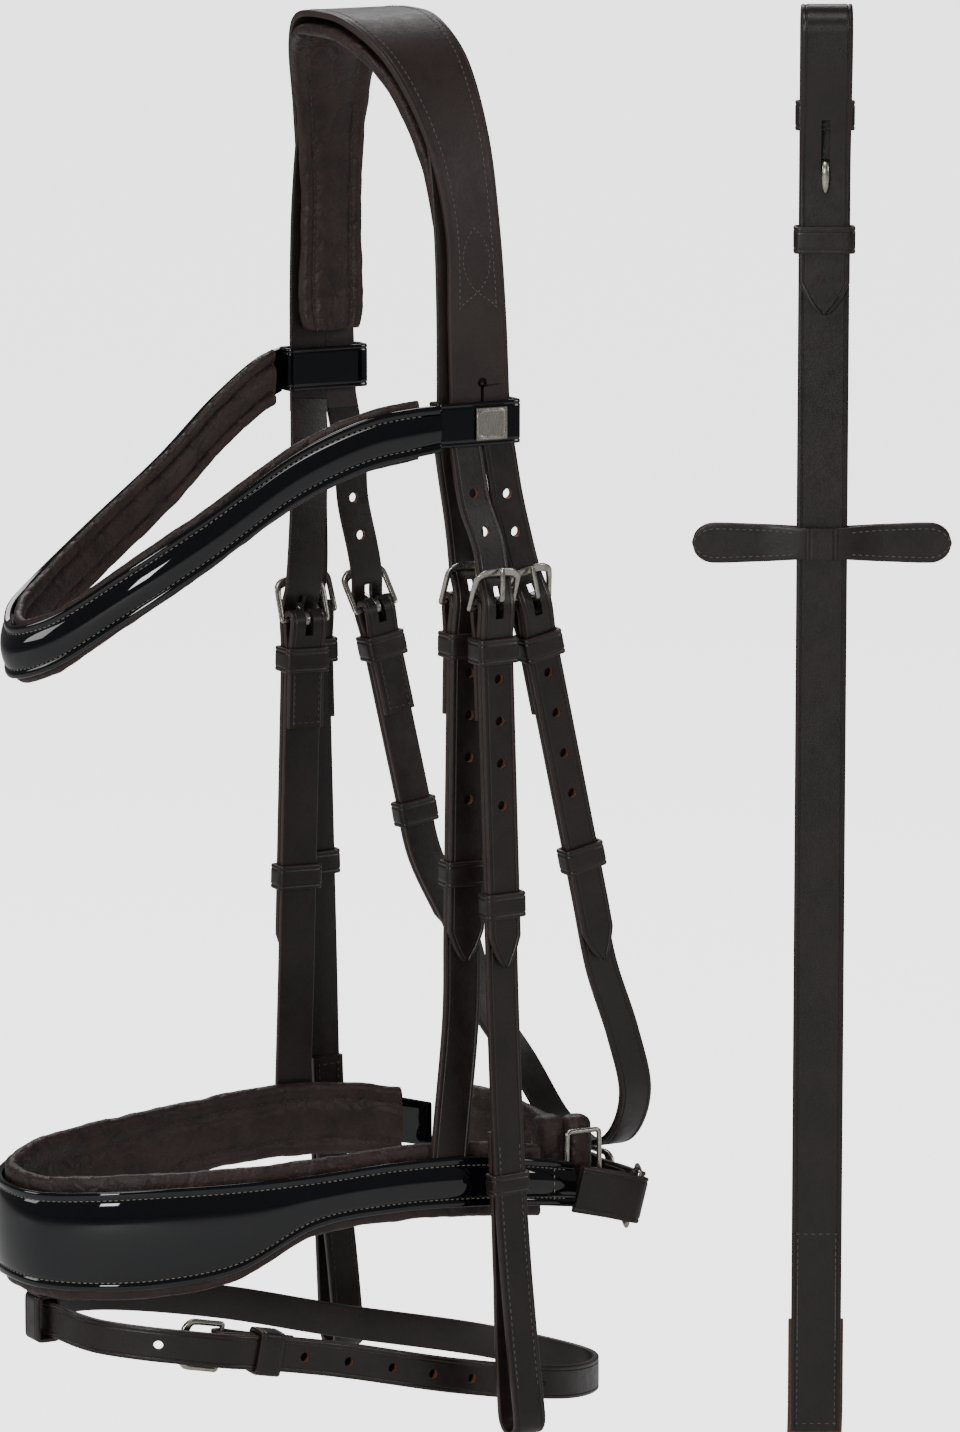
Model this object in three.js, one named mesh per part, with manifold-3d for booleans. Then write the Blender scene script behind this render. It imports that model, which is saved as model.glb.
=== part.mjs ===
// A snaffle bridle: padded headpiece, wave browband, crank noseband with flash strap, and one rein.
// Millimetres. +X is the near (left) side, -Y the front of the face, +Z up.
// The origin is the middle of the flat under the headpiece padding, where it rests on the poll.

import * as THREE from "three";
import { mergeVertices } from "three/addons/utils/BufferGeometryUtils.js";
import Module from "manifold-3d";

const wasm = await Module();
wasm.setup();
const degrees = THREE.MathUtils.degToRad;

// Leather straps
const LEATHER = 2.6;
const PLY = LEATHER + 0.4;
const CHEEK_WIDTH = 13;
const HANGER_WIDTH = 15;
const SLIPHEAD_THICKNESS = 1.6;
const TIP_LENGTH = 12;
const CLEARANCE = 0.3;

// Buckles: the bar is at the foot of the frame, and the frame leans out over the billet
const BAR_RADIUS = 1;
const FRAME_HEIGHT = 15.5;
const FRAME_SHOULDER = 10.5;
const FRAME_WALL = 2.3;
const FRAME_THICKNESS = 2;
const FRAME_LEAN = 0.42;
const TONGUE_RISE = 8.4;
const FRAME_SIDE_ROOM = 1.1;
const TONGUE_WIDTH = 2.4;
const COLLAR_INNER = 2.05;
const COLLAR_OUTER = 3.1;
const WRAP_RADIUS = 3.35;
const TONGUE_SLOT_WIDTH = 3.2;
const FOLD_LENGTH = 42;
const BILLET_LIFT = PLY * 1.5;
const BILLET_REACH = 136;

// Keepers
const KEEPER_WALL = 1.7;
const KEEPER_HEIGHT = 9.5;
const FIXED_KEEPER_DROP = 15.5;
const BACK_OF_FOLD = -PLY / 2 - LEATHER / 2;
const BACK_OF_STRAP = PLY / 2 - LEATHER / 2;
const FRONT_OF_BILLET = BILLET_LIFT + LEATHER / 2;

// Headpiece, from the middle of the poll down one side: x, z, front edge y, rear edge y
const CROWN_ROWS = [
  [0, 8.4, -29, 12],
  [22, 6.2, -29, 10.5],
  [42, -6, -23, 11],
  [57, -33, -14.5, 12],
  [64, -66, -9.5, 13],
  [66.3, -100, -9.5, 14.5],
  [66.5, -125, -9, 15.5],
  [66.5, -149.8, -8.5, 16.5],
];
const CROWN_OFF_SHIFT = 3.5;
const SPLIT_TOP = -124;
const SPLIT_WIDTH = 1.6;
const RELIEF_HOLE = 2;
const CROWN_STEPS = 44;
const SLIPHEAD_LIFT = -2.45;
const SLIPHEAD_Y = -3.8;
const SLIPHEAD_SWAY = -1.8;
const PADDING_LIFT = -6.3;
const PADDING_THICKNESS = 5.4;
const PADDING_OVERHANG = 3;
const PADDING_ENDS = [0.145, 0.09];

// Cheeks, hangers and throatlatch: drop is how much lower the off side is buckled, and loop is
// where the browband's loop sits (y, z). Holes and keepers are measured down from the buckle bar.
const SIDES = [
  { name: "near", sign: 1, drop: 0, hangerY: [2.8, 0, -6], loop: [2, -139] },
  { name: "off", sign: -1, drop: 22, hangerY: [-7, -11, -11], loop: [5.5, -133.5] },
];
const BAR_Z = -208;
const BILLET_TOP = -151.2;
const KEEPER_DROPS = {
  near_cheek: 112, near_hanger: 102, near_throat: 100, off_cheek: 100, off_hanger: 101, off_throat: 83,
};
const REACHES = { near_throat: 141 };
const HOLES_BELOW = [26, 42, 58, 74];
const HOLES_ABOVE = [-44, -29];
const HOLE_RADIUS = 1.9;
const BIT_LOOP_RADIUS = 6.5;
const BIT_FOLD = 118;

// Browband, from the near loop to the off loop: x, y, z of its centre line and height
const BROWBAND_ROWS = [
  [69.3, -14.8, -140, 17.5],
  [67.6, -25, -141.2, 18.5],
  [64, -42, -144.5, 19],
  [58, -68, -156, 19.5],
  [50, -101, -178.8, 20],
  [38, -130, -199.2, 20],
  [20, -150, -216.5, 20],
  [0, -157, -222.5, 20],
  [-20, -149, -218.5, 20],
  [-38, -130, -211, 20],
  [-50, -101, -193.5, 19.5],
  [-58, -68, -171.5, 19],
  [-64, -42, -151, 18.5],
  [-67.5, -21, -137.4, 18],
  [-69.3, -11.3, -134.2, 17],
];
const BROWBAND_LINING_EXTRA = 4;
const BROWBAND_THICKNESS = 4;
const BROWBAND_STEPS = 40;
const LOOP_HEIGHT = 16.5;
const LOOP_WALL = 2;
const PLATE_SIZE = [13, 12, 1.4];

// Noseband, from the middle of the nose back along one side: x, y, top z, bottom z
const NOSEBAND_ROWS = [
  [0, -161, -424, -460],
  [18, -157, -424, -460.7],
  [34, -143, -422.6, -460.5],
  [46, -120, -421.4, -459.3],
  [54, -92, -420.8, -454.5],
  [59.5, -62, -419.5, -440],
  [62.3, -30, -417.8, -437],
  [63.3, 0, -418.5, -438],
  [62, 28, -422.5, -441],
  [58, 48, -427, -444.5],
];
const NOSEBAND_STEPS = 52;
const NOSEBAND_THICKNESS = 3.4;
const NOSE_LINING_THICKNESS = 6;
const NOSE_LINING_MARGIN = 4.8;
const NOSE_LINING_ENDS = 2;

// Crank closure behind the jaw: centre line from the near ring to the off end of the noseband
const CRANK_LINE = [
  [40, 85, -447.2], [20, 89, -449.5], [0, 90, -451],
  [-25, 87, -450], [-46, 73, -444], [-57.3, 50.8, -438],
];
const CRANK_WIDTH = 18;
const CRANK_BAR = 58;
const CRANK_REACH = 52;
const CRANK_FOLD = 28;
const TAB_LINE = [[55.5, 76, -445], [56.6, 62, -441], [56.6, 50.4, -438]];
const CHIN_LINE = [
  [44, 57, -429], [38, 62, -432], [22, 67, -436], [0, 69, -438], [-22, 66.5, -436], [-39, 58, -433],
  [-45.5, 45, -431],
];
const CHIN_HEIGHT = 31;
const CHIN_THICKNESS = 8;
const CHIN_ROLLS = [[43.5, 45, -428], [43.5, 57, -429]];
const CHIN_ROLL_RADIUS = 6.3;
const CHIN_RING = { centre: [51.9, 55, -431], inner: [26, 12] };

// Flash strap: a closed line from the front loop along the near side, round the jaw and back
const FLASH_LINE = [
  [0, -147, -477], [24, -137, -479], [44, -104, -483.5], [48, -50, -494],
  [46, 5, -508], [34, 60, -520], [0, 86, -525], [-34, 60, -520],
  [-46, 0, -507], [-48, -50, -494], [-44, -104, -483.5], [-24, -137, -479],
];
const FLASH_BAR = 74;
const FLASH_REACH = 142;
const FLASH_LIFT = PLY * 1.5 + 2.2;
const FLASH_HOLES = [-23, 33, 52, 71, 89, 107];
const FLASH_TONGUE_RISE = 1.35;

// Rein, hanging beside the bridle and turned to the left front
const REIN_PLACE = [116, 122];
const REIN_TURN = degrees(62);
const REIN_TOP = 15;
const REIN_WIDTH = 19;
const REIN_LOOP = 8;
const REIN_TIP = 115;
const REIN_STUD = 58;
const REIN_UPPER_KEEPER = 41;
const REIN_LOWER_KEEPER = 87;
const REIN_STOP = 201;
const REIN_END = 543;
const REIN_STOP_SIZE = [97, 15, 6.6];
const WEB_START = 500;
const WEB_WIDTH = 21;
const WEB_THICKNESS = 1.8;
const ROLL_OUTER = 31;
const ROLL_INNER = 14;
const ROLL_CENTRE = 596;

const vec = (x, y, z) => new THREE.Vector3(x, y, z);

// ---------------------------------------------------------------- finishes

const leather = () => new THREE.MeshStandardMaterial({ color: 0x241a17, roughness: 0.55, metalness: 0 });
const lining = () => new THREE.MeshStandardMaterial({ color: 0x2b1a17, roughness: 0.7, metalness: 0 });
const patent = () => new THREE.MeshStandardMaterial({ color: 0x07080c, roughness: 0.12, metalness: 0 });
const steel = () => new THREE.MeshStandardMaterial({ color: 0x9a958c, roughness: 0.35, metalness: 1 });
const webbing = () => new THREE.MeshStandardMaterial({ color: 0x3a2018, roughness: 0.85, metalness: 0 });

// ---------------------------------------------------------------- solids

function toSolid(geometry) {
  const bare = geometry.clone();
  bare.deleteAttribute("normal");
  bare.deleteAttribute("uv");
  const merged = mergeVertices(bare, 1e-4);
  const vertProperties = new Float32Array(merged.attributes.position.array);
  const triVerts = new Uint32Array(merged.index.array);
  return new wasm.Manifold(new wasm.Mesh({ numProp: 3, vertProperties, triVerts }));
}

function toGeometry(solid) {
  const result = solid.getMesh();
  const geometry = new THREE.BufferGeometry();
  geometry.setAttribute("position", new THREE.BufferAttribute(result.vertProperties, 3));
  geometry.setIndex(new THREE.BufferAttribute(result.triVerts, 1));
  geometry.computeVertexNormals();
  return geometry;
}

function cut(geometry, tools) {
  return toGeometry(tools.reduce((solid, tool) => solid.subtract(toSolid(tool)), toSolid(geometry)));
}

function join(geometry, extras) {
  return toGeometry(extras.reduce((solid, extra) => solid.add(toSolid(extra)), toSolid(geometry)));
}

const placed = (geometry, frame) => geometry.clone().applyMatrix4(frame);

// ---------------------------------------------------------------- straps

/** A strap's line. Its frame at any distance has x across the strap, y back up it and z outwards. */
class Route {
  constructor(points, across, closed = false) {
    this.curve = new THREE.CatmullRomCurve3(points, closed, "centripetal");
    this.closed = closed;
    this.curve.arcLengthDivisions = 600;
    this.across = across;
    this.length = this.curve.getLength();
  }

  at(distance, lift = 0) {
    const turns = distance / this.length;
    const u = this.closed ? turns - Math.floor(turns) : THREE.MathUtils.clamp(turns, 0, 1);
    const down = this.curve.getTangentAt(u);
    const point = this.curve.getPointAt(u);
    if (!this.closed) point.addScaledVector(down, distance - u * this.length);
    const across = this.across.clone().addScaledVector(down, -this.across.dot(down)).normalize();
    const out = down.clone().cross(across);
    point.addScaledVector(out, lift);
    return new THREE.Matrix4().makeBasis(across, down.negate(), out).setPosition(point);
  }

  /** The distance at which the line is at height z. */
  distanceAt(z) {
    let low = 0;
    let high = this.length;
    for (let i = 0; i < 40; i++) {
      const middle = (low + high) / 2;
      if (this.curve.getPointAt(middle / this.length).z > z) low = middle;
      else high = middle;
    }
    return low;
  }
}

/** Evenly spaced points between two ends, so that a curve through them is straight. */
function straight(from, to, count) {
  return Array.from({ length: count }, (_, i) => from.clone().lerp(to, i / (count - 1)));
}

/** Adds points to a path of [distance, lift] pairs wherever two are further apart than step. */
function filled(path, step) {
  const result = [path[0]];
  for (let i = 1; i < path.length; i++) {
    const [s0, n0] = path[i - 1];
    const [s1, n1] = path[i];
    const parts = Math.max(1, Math.ceil(Math.abs(s1 - s0) / step));
    for (let k = 1; k <= parts; k++) {
      result.push([s0 + ((s1 - s0) * k) / parts, n0 + ((n1 - n0) * k) / parts]);
    }
  }
  return result;
}

/** Stations of a strap that follows a path of [distance, lift] pairs along a route. */
function along(route, path, width, step = 30) {
  return filled(path, step).map(([distance, lift]) => {
    const frame = route.at(distance, lift);
    const point = vec(0, 0, 0).setFromMatrixPosition(frame);
    const across = vec(0, 0, 0).setFromMatrixColumn(frame, 0);
    return { point, across, width };
  });
}

/** Stations of a band between two edge lines. */
function between(edgeA, edgeB, steps) {
  const curveA = new THREE.CatmullRomCurve3(edgeA, false, "centripetal");
  const curveB = new THREE.CatmullRomCurve3(edgeB, false, "centripetal");
  return Array.from({ length: steps + 1 }, (_, i) => {
    const a = curveA.getPoint(i / steps);
    const b = curveB.getPoint(i / steps);
    const across = b.clone().sub(a);
    const width = across.length();
    return { point: a.add(b).multiplyScalar(0.5), across: across.normalize(), width };
  });
}

function outward(stations, i) {
  const next = stations[Math.min(i + 1, stations.length - 1)].point;
  const last = stations[Math.max(i - 1, 0)].point;
  return next.clone().sub(last).normalize().cross(stations[i].across).normalize();
}

/** The same stations moved outwards by lift and made wider by extra. */
function shifted(stations, lift, extra = 0) {
  return stations.map((station, i) => {
    const point = station.point.clone().addScaledVector(outward(stations, i), lift);
    return { point, across: station.across, width: station.width + extra };
  });
}

/** A closed strip of leather through its stations. */
function strip(stations, thickness) {
  const positions = [];
  const faces = [];
  stations.forEach((station, i) => {
    const out = outward(stations, i).multiplyScalar(thickness / 2);
    const side = station.across.clone().multiplyScalar(station.width / 2);
    for (const [u, v] of [[-1, -1], [1, -1], [1, 1], [-1, 1]]) {
      const corner = station.point.clone().addScaledVector(side, u).addScaledVector(out, v);
      positions.push(...corner.toArray());
    }
  });
  for (let i = 0; i < stations.length - 1; i++) {
    for (let k = 0; k < 4; k++) {
      const a = 4 * i + k;
      const b = 4 * i + ((k + 1) % 4);
      faces.push(a, b, b + 4, a, b + 4, a + 4);
    }
  }
  const end = 4 * (stations.length - 1);
  faces.push(0, 3, 2, 0, 2, 1, end, end + 1, end + 2, end, end + 2, end + 3);
  const geometry = new THREE.BufferGeometry();
  geometry.setAttribute("position", new THREE.Float32BufferAttribute(positions, 3));
  geometry.setIndex(faces);
  geometry.computeVertexNormals();
  return geometry;
}

/** Narrows the last stations of a strap into a rounded point. */
function pointed(stations) {
  const end = stations.at(-1).point;
  return stations.map((station) => {
    const fromEnd = Math.min(station.point.distanceTo(end) / TIP_LENGTH, 1);
    return { ...station, width: Math.max(station.width * fromEnd ** 0.55, 1.2) };
  });
}

/** The last points of a billet's path, close together so that its tip is round. */
function tipPath(end, lift) {
  return [TIP_LENGTH, 8, 4, 1.5, 0].map((back) => [end - back, lift]);
}

/** A box for cutting, centred on a place of a route: across, along and through the strap. */
function punch(route, distance, lift, size) {
  return placed(new THREE.BoxGeometry(...size), route.at(distance, lift));
}

function drill(route, distance, lift, radius) {
  const bit = new THREE.CylinderGeometry(radius, radius, 3 * LEATHER, 6).rotateX(Math.PI / 2);
  return placed(bit, route.at(distance, lift));
}

// ---------------------------------------------------------------- buckles and keepers

/** A buckle end: the strap's end, sewn behind, then round the bar and down the front. */
function foldPath(bar, foldLength) {
  const path = [[bar + foldLength, -PLY / 2], [bar + 11, -PLY / 2], [bar + 6, -2.4], [bar + 2, -3.2]];
  for (let angle = -75; angle <= 75; angle += 30) {
    const turn = degrees(angle);
    path.push([bar - WRAP_RADIUS * Math.cos(turn), WRAP_RADIUS * Math.sin(turn)]);
  }
  path.push([bar + 2, 3.2], [bar + 6, 2.4], [bar + 11, PLY / 2]);
  return path;
}

/** A billet: down from its top, under the frame, over the bar, then down the lower strap. */
function billetPath(top, bar, reach = BILLET_REACH) {
  const path = [[top, 0], [bar - 28, 0.4], [bar - 20, 0.9], [bar - 12, 2], [bar - 8, 4]];
  path.push([bar - 3, 6.3], [bar + 2, 6.3], [bar + 7, 5.3], [bar + 12, BILLET_LIFT]);
  return path.concat(tipPath(bar + reach, BILLET_LIFT));
}

function frameGeometry(strapWidth, slope = FRAME_LEAN) {
  const inner = strapWidth / 2 + FRAME_SIDE_ROOM;
  const outer = inner + FRAME_WALL;
  const outline = new THREE.Shape([
    new THREE.Vector2(-outer, -BAR_RADIUS), new THREE.Vector2(outer, -BAR_RADIUS),
    new THREE.Vector2(outer, FRAME_SHOULDER),
  ]);
  outline.quadraticCurveTo(outer, FRAME_HEIGHT - 1, outer - 5, FRAME_HEIGHT);
  outline.quadraticCurveTo(0, FRAME_HEIGHT + 1.2, 5 - outer, FRAME_HEIGHT);
  outline.quadraticCurveTo(-outer, FRAME_HEIGHT - 1, -outer, FRAME_SHOULDER);
  const window = new THREE.Path([
    new THREE.Vector2(-inner, BAR_RADIUS), new THREE.Vector2(-inner, FRAME_SHOULDER),
    new THREE.Vector2(2 - inner, FRAME_HEIGHT - FRAME_WALL - 0.9),
    new THREE.Vector2(inner - 2, FRAME_HEIGHT - FRAME_WALL - 0.9),
    new THREE.Vector2(inner, FRAME_SHOULDER), new THREE.Vector2(inner, BAR_RADIUS),
  ]);
  outline.holes.push(window);
  const flat = { depth: FRAME_THICKNESS, bevelEnabled: false, curveSegments: 3 };
  const geometry = new THREE.ExtrudeGeometry(outline, flat).translate(0, 0, -FRAME_THICKNESS / 2);
  const lean = new THREE.Matrix4().set(1, 0, 0, 0, 0, 1, 0, 0, 0, slope, 1, 0, 0, 0, 0, 1);
  return geometry.applyMatrix4(lean);
}

/** Turns a shape drawn in the strap's up and out directions into a plate across the strap. */
function sideways(shape, width) {
  const flat = { depth: width, bevelEnabled: false, curveSegments: 12 };
  const geometry = new THREE.ExtrudeGeometry(shape, flat).translate(0, 0, -width / 2);
  return geometry.applyMatrix4(new THREE.Matrix4().makeBasis(vec(0, 1, 0), vec(0, 0, 1), vec(1, 0, 0)));
}

/** A tongue: its collar round the bar and its prong, which lies at the height rise. */
function tongueGeometry(rise = TONGUE_RISE) {
  const ring = (radius) => new THREE.Path().absarc(0, 0, radius, 0, 2 * Math.PI, false).getPoints(6);
  const collar = new THREE.Shape(ring(COLLAR_OUTER));
  collar.holes.push(new THREE.Path(ring(COLLAR_INNER)));
  const foot = Math.min(rise, 2);
  const prong = new THREE.Shape([
    new THREE.Vector2(2, foot * 0.6), new THREE.Vector2(4.8, rise), new THREE.Vector2(16.6, rise + 0.1),
    new THREE.Vector2(16.8, rise + 1.1), new THREE.Vector2(15.6, rise + 1.8),
    new THREE.Vector2(3.9, rise + 1.8), new THREE.Vector2(-0.6, 2.5),
  ]);
  return join(sideways(collar, TONGUE_WIDTH), [sideways(prong, TONGUE_WIDTH)]);
}

/** A rectangular loop round straps that are width wide and lie between the lifts low and high. */
function loopGeometry(width, low, high, height, wall = KEEPER_WALL) {
  const half = width / 2 + CLEARANCE;
  const outer = half + wall;
  const round = wall * 0.9;
  const outline = new THREE.Shape([
    new THREE.Vector2(-outer + round, low - wall), new THREE.Vector2(outer - round, low - wall),
    new THREE.Vector2(outer, low - wall + round), new THREE.Vector2(outer, high + wall - round),
    new THREE.Vector2(outer - round, high + wall), new THREE.Vector2(-outer + round, high + wall),
    new THREE.Vector2(-outer, high + wall - round), new THREE.Vector2(-outer, low - wall + round),
  ]);
  outline.holes.push(new THREE.Path([
    new THREE.Vector2(-half, low), new THREE.Vector2(-half, high),
    new THREE.Vector2(half, high), new THREE.Vector2(half, low),
  ]));
  const geometry = new THREE.ExtrudeGeometry(outline, { depth: height, bevelEnabled: false });
  return geometry.translate(0, 0, -height / 2).rotateX(Math.PI / 2);
}

/** The keeper sewn in behind the fold, which joins its strap there. */
function fixedKeeper(route, bar, width) {
  const geometry = loopGeometry(width, BACK_OF_FOLD + 0.1, FRONT_OF_BILLET + CLEARANCE, KEEPER_HEIGHT);
  return placed(geometry, route.at(bar + FIXED_KEEPER_DROP));
}

const root = new THREE.Group();

function add(name, geometry, material, frame) {
  const mesh = new THREE.Mesh(geometry, material);
  mesh.name = name;
  if (frame) mesh.applyMatrix4(frame);
  root.add(mesh);
  return mesh;
}

/** Everything at one buckle apart from the lower strap: billet, frame, tongue and running keeper. */
function buckledPair(name, route, bar, width, holes, top) {
  const billet = strip(pointed(along(route, billetPath(top, bar, REACHES[name]), width, 18)), LEATHER);
  const slot = punch(route, bar - 3, 5, [TONGUE_SLOT_WIDTH, 12, 12]);
  const liftAt = (hole) => (hole < 0 ? 0.3 : BILLET_LIFT);
  const bits = holes.map((hole) => drill(route, bar + hole, liftAt(hole), HOLE_RADIUS));
  add(`${name}_billet`, cut(billet, [slot, ...bits]), leather());
  add(`${name}_buckle`, frameGeometry(width), steel(), route.at(bar));
  add(`${name}_tongue`, tongueGeometry(), steel(), route.at(bar));
  const keeper = loopGeometry(
    width, BACK_OF_STRAP - CLEARANCE, FRONT_OF_BILLET + CLEARANCE, KEEPER_HEIGHT);
  add(`${name}_keeper`, keeper, leather(), route.at(bar + KEEPER_DROPS[name]));
}

function tongueSlot(route, bar) {
  return punch(route, bar + 0.5, 0.5, [TONGUE_SLOT_WIDTH, 10.6, 12]);
}

// ---------------------------------------------------------------- headpiece

function mirrored(rows, toEdges) {
  const near = rows.map((row) => toEdges(row, 1));
  const off = rows.slice(1).map((row) => toEdges(row, -1));
  return [...near.reverse(), ...off];
}

function headpiece() {
  const shift = (row, side) => (side < 0 ? CROWN_OFF_SHIFT * Math.min(row[0] / 60, 1) : 0);
  const edge = (column) => (row, side) => vec(side * row[0], row[column] + shift(row, side), row[1]);
  const stations = between(mirrored(CROWN_ROWS, edge(3)), mirrored(CROWN_ROWS, edge(2)), CROWN_STEPS);
  const last = CROWN_ROWS.at(-1);
  const splits = [1, -1].flatMap((side) => {
    const middle = (last[2] + last[3]) / 2 + shift(last, side);
    const x = side * last[0];
    const slit = new THREE.BoxGeometry(12, SPLIT_WIDTH, 40).translate(x, middle, SPLIT_TOP - 20);
    const hole = new THREE.CylinderGeometry(RELIEF_HOLE, RELIEF_HOLE, 12, 10).rotateZ(Math.PI / 2);
    return [slit, hole.translate(x, middle, SPLIT_TOP)];
  });
  add("headpiece", cut(strip(stations, LEATHER), splits), leather());

  const under = shifted(stations, SLIPHEAD_LIFT).map((station) => {
    const point = station.point.clone();
    point.setY(SLIPHEAD_Y + (SLIPHEAD_SWAY * point.x) / last[0]);
    return { ...station, point, width: HANGER_WIDTH };
  });
  add("sliphead", strip(under, SLIPHEAD_THICKNESS), leather());

  const [nearEnd, offEnd] = PADDING_ENDS.map((share) => Math.round(CROWN_STEPS * share));
  const padded = shifted(stations, PADDING_LIFT, PADDING_OVERHANG).slice(nearEnd, -offEnd);
  const below = new THREE.BoxGeometry(34, 80, 10).translate(0, 0, -5);
  add("headpiece_padding", cut(strip(padded, PADDING_THICKNESS), [below]), lining());
}

// ---------------------------------------------------------------- cheeks, hangers and throatlatch

function sideRoute({ sign }, points) {
  return new Route(points.map((point) => point.multiply(vec(sign, 1, 1))), vec(0, sign, 0));
}

function cheekRoute(side) {
  const shift = side.sign < 0 ? CROWN_OFF_SHIFT : 0;
  return sideRoute(side, [
    vec(67.5, -2.5 + shift, BILLET_TOP), vec(69.5, -0.5 + shift, -168),
    ...straight(vec(72.7, 3.9, -186), vec(74, 8.8, -365), 7),
    vec(75.5, 11, -430), vec(77.5, 14.5, -485), vec(80, 17.5, -525),
  ]);
}

function hangerRoute(side) {
  const [high, low, foot] = side.hangerY;
  const start = SLIPHEAD_Y + SLIPHEAD_SWAY * side.sign;
  const top = vec(56, high, -186 - side.drop);
  return sideRoute(side, [
    vec(63.3, start, BILLET_TOP - 0.6), ...(side.drop ? [vec(58.5, (start + high) / 2, -180)] : []),
    ...straight(top, vec(56.5, low, -365), 7), vec(59.5, foot, -411),
  ]);
}

function throatRoute(side) {
  const shift = side.sign < 0 ? CROWN_OFF_SHIFT : 0;
  const foot = side.sign > 0
    ? [vec(60, 68, -378), vec(50, 79, -404), vec(30, 83.5, -425)]
    : [vec(52, 58.5, -356), vec(46, 66, -386), vec(36, 78, -409), vec(20, 83, -427)];
  const knee = side.sign > 0 ? vec(65, 55.5, -349) : vec(57, 46, -326);
  return sideRoute(side, [
    vec(67.5, 11.3 + shift, BILLET_TOP), vec(67.3, 14.5 + shift, -168),
    ...straight(vec(67, 18.9, -186), knee, 7), ...foot, vec(0, 84.5, -434),
  ]);
}

function cheekpiece(side) {
  const route = cheekRoute(side);
  const bar = route.distanceAt(BAR_Z - side.drop);
  const end = route.length;
  const path = foldPath(bar, FOLD_LENGTH);
  path.push([end - 60, PLY / 2], [end - 20, 1.9]);
  for (let angle = 80; angle >= -80; angle -= 32) {
    const turn = degrees(angle);
    const reach = BIT_LOOP_RADIUS * Math.cos(turn);
    path.push([end - BIT_LOOP_RADIUS + reach, BIT_LOOP_RADIUS * (Math.sin(turn) - 1) + 2]);
  }
  path.push([end - 32, -8.2], [end - 60, -4.4], [end - 85, -2.2], [end - BIT_FOLD, -PLY / 2]);
  const strap = strip(along(route, path, CHEEK_WIDTH, 34), LEATHER);
  const smallLoop = loopGeometry(CHEEK_WIDTH, -PLY / 2 - 1.2, PLY / 2 + 1.2, 8, 1.3);
  const upperLoop = placed(smallLoop, route.at(end - 98));
  const keepers = [fixedKeeper(route, bar, CHEEK_WIDTH), upperLoop];
  const geometry = cut(join(strap, keepers), [tongueSlot(route, bar)]);
  add(`${side.name}_cheekpiece`, geometry, leather());
  buckledPair(`${side.name}_cheek`, route, bar, CHEEK_WIDTH, [...HOLES_ABOVE, ...HOLES_BELOW], 0);
}

function hanger(side) {
  const route = hangerRoute(side);
  const bar = route.distanceAt(BAR_Z - side.drop);
  const path = [...foldPath(bar, FOLD_LENGTH), [route.length - 8, PLY / 2], [route.length, PLY / 2]];
  const strap = strip(along(route, path, HANGER_WIDTH, 40), LEATHER);
  const geometry = cut(join(strap, [fixedKeeper(route, bar, HANGER_WIDTH)]), [tongueSlot(route, bar)]);
  add(`${side.name}_hanger`, geometry, leather());
  buckledPair(`${side.name}_hanger`, route, bar, HANGER_WIDTH, HOLES_BELOW, 0);
}

function throatlatch() {
  const halves = SIDES.map((side) => {
    const route = throatRoute(side);
    const bar = route.distanceAt(BAR_Z - 1 - side.drop * 0.9);
    buckledPair(`${side.name}_throat`, route, bar, CHEEK_WIDTH, [...HOLES_ABOVE, ...HOLES_BELOW], 0);
    const knee = route.distanceAt(-349);
    const path = [...foldPath(bar, FOLD_LENGTH), [knee, PLY / 2], [route.length, PLY / 2]];
    return { route, bar, stations: along(route, path, CHEEK_WIDTH, 16) };
  });
  const back = halves[1].stations.reverse().slice(1);
  const turned = back.map((station) => ({ ...station, across: station.across.negate() }));
  const strap = strip([...halves[0].stations, ...turned], LEATHER);
  const keepers = halves.map(({ route, bar }) => fixedKeeper(route, bar, CHEEK_WIDTH));
  const slots = halves.map(({ route, bar }) => tongueSlot(route, bar));
  add("throatlatch", cut(join(strap, keepers), slots), leather());
}

// ---------------------------------------------------------------- browband

function browband() {
  const edge = (part) => BROWBAND_ROWS.map(([x, y, z, height]) => vec(x, y, z + part * height));
  const stations = between(edge(0.5), edge(-0.5), BROWBAND_STEPS);
  const loops = SIDES.map(({ sign, loop }) => {
    const low = SLIPHEAD_LIFT - SLIPHEAD_THICKNESS / 2 - 2 * CLEARANCE;
    const geometry = loopGeometry(30.4, low, LEATHER / 2 + 2 * CLEARANCE, LOOP_HEIGHT, LOOP_WALL);
    const frame = new THREE.Matrix4().makeBasis(vec(0, sign, 0), vec(0, 0, 1), vec(sign, 0, 0));
    return placed(geometry, frame.setPosition(sign * 66.5, loop[0], loop[1]));
  });
  add("browband", join(strip(stations, BROWBAND_THICKNESS), loops), patent());
  const inner = shifted(stations, -BROWBAND_THICKNESS - CLEARANCE, BROWBAND_LINING_EXTRA).slice(2, -2);
  add("browband_lining", strip(inner, BROWBAND_THICKNESS), lining());
  const plate = new THREE.BoxGeometry(...PLATE_SIZE);
  const face = new THREE.Matrix4().makeBasis(vec(0, 1, 0), vec(0, 0, 1), vec(1, 0, 0));
  const front = 66.5 + LEATHER / 2 + 3 * CLEARANCE + LOOP_WALL + PLATE_SIZE[2] / 2;
  add("browband_plate", plate, steel(), face.setPosition(front, 6, SIDES[0].loop[1]));
}

// ---------------------------------------------------------------- noseband and its closures

const points = (line) => line.map((row) => vec(...row));

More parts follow.
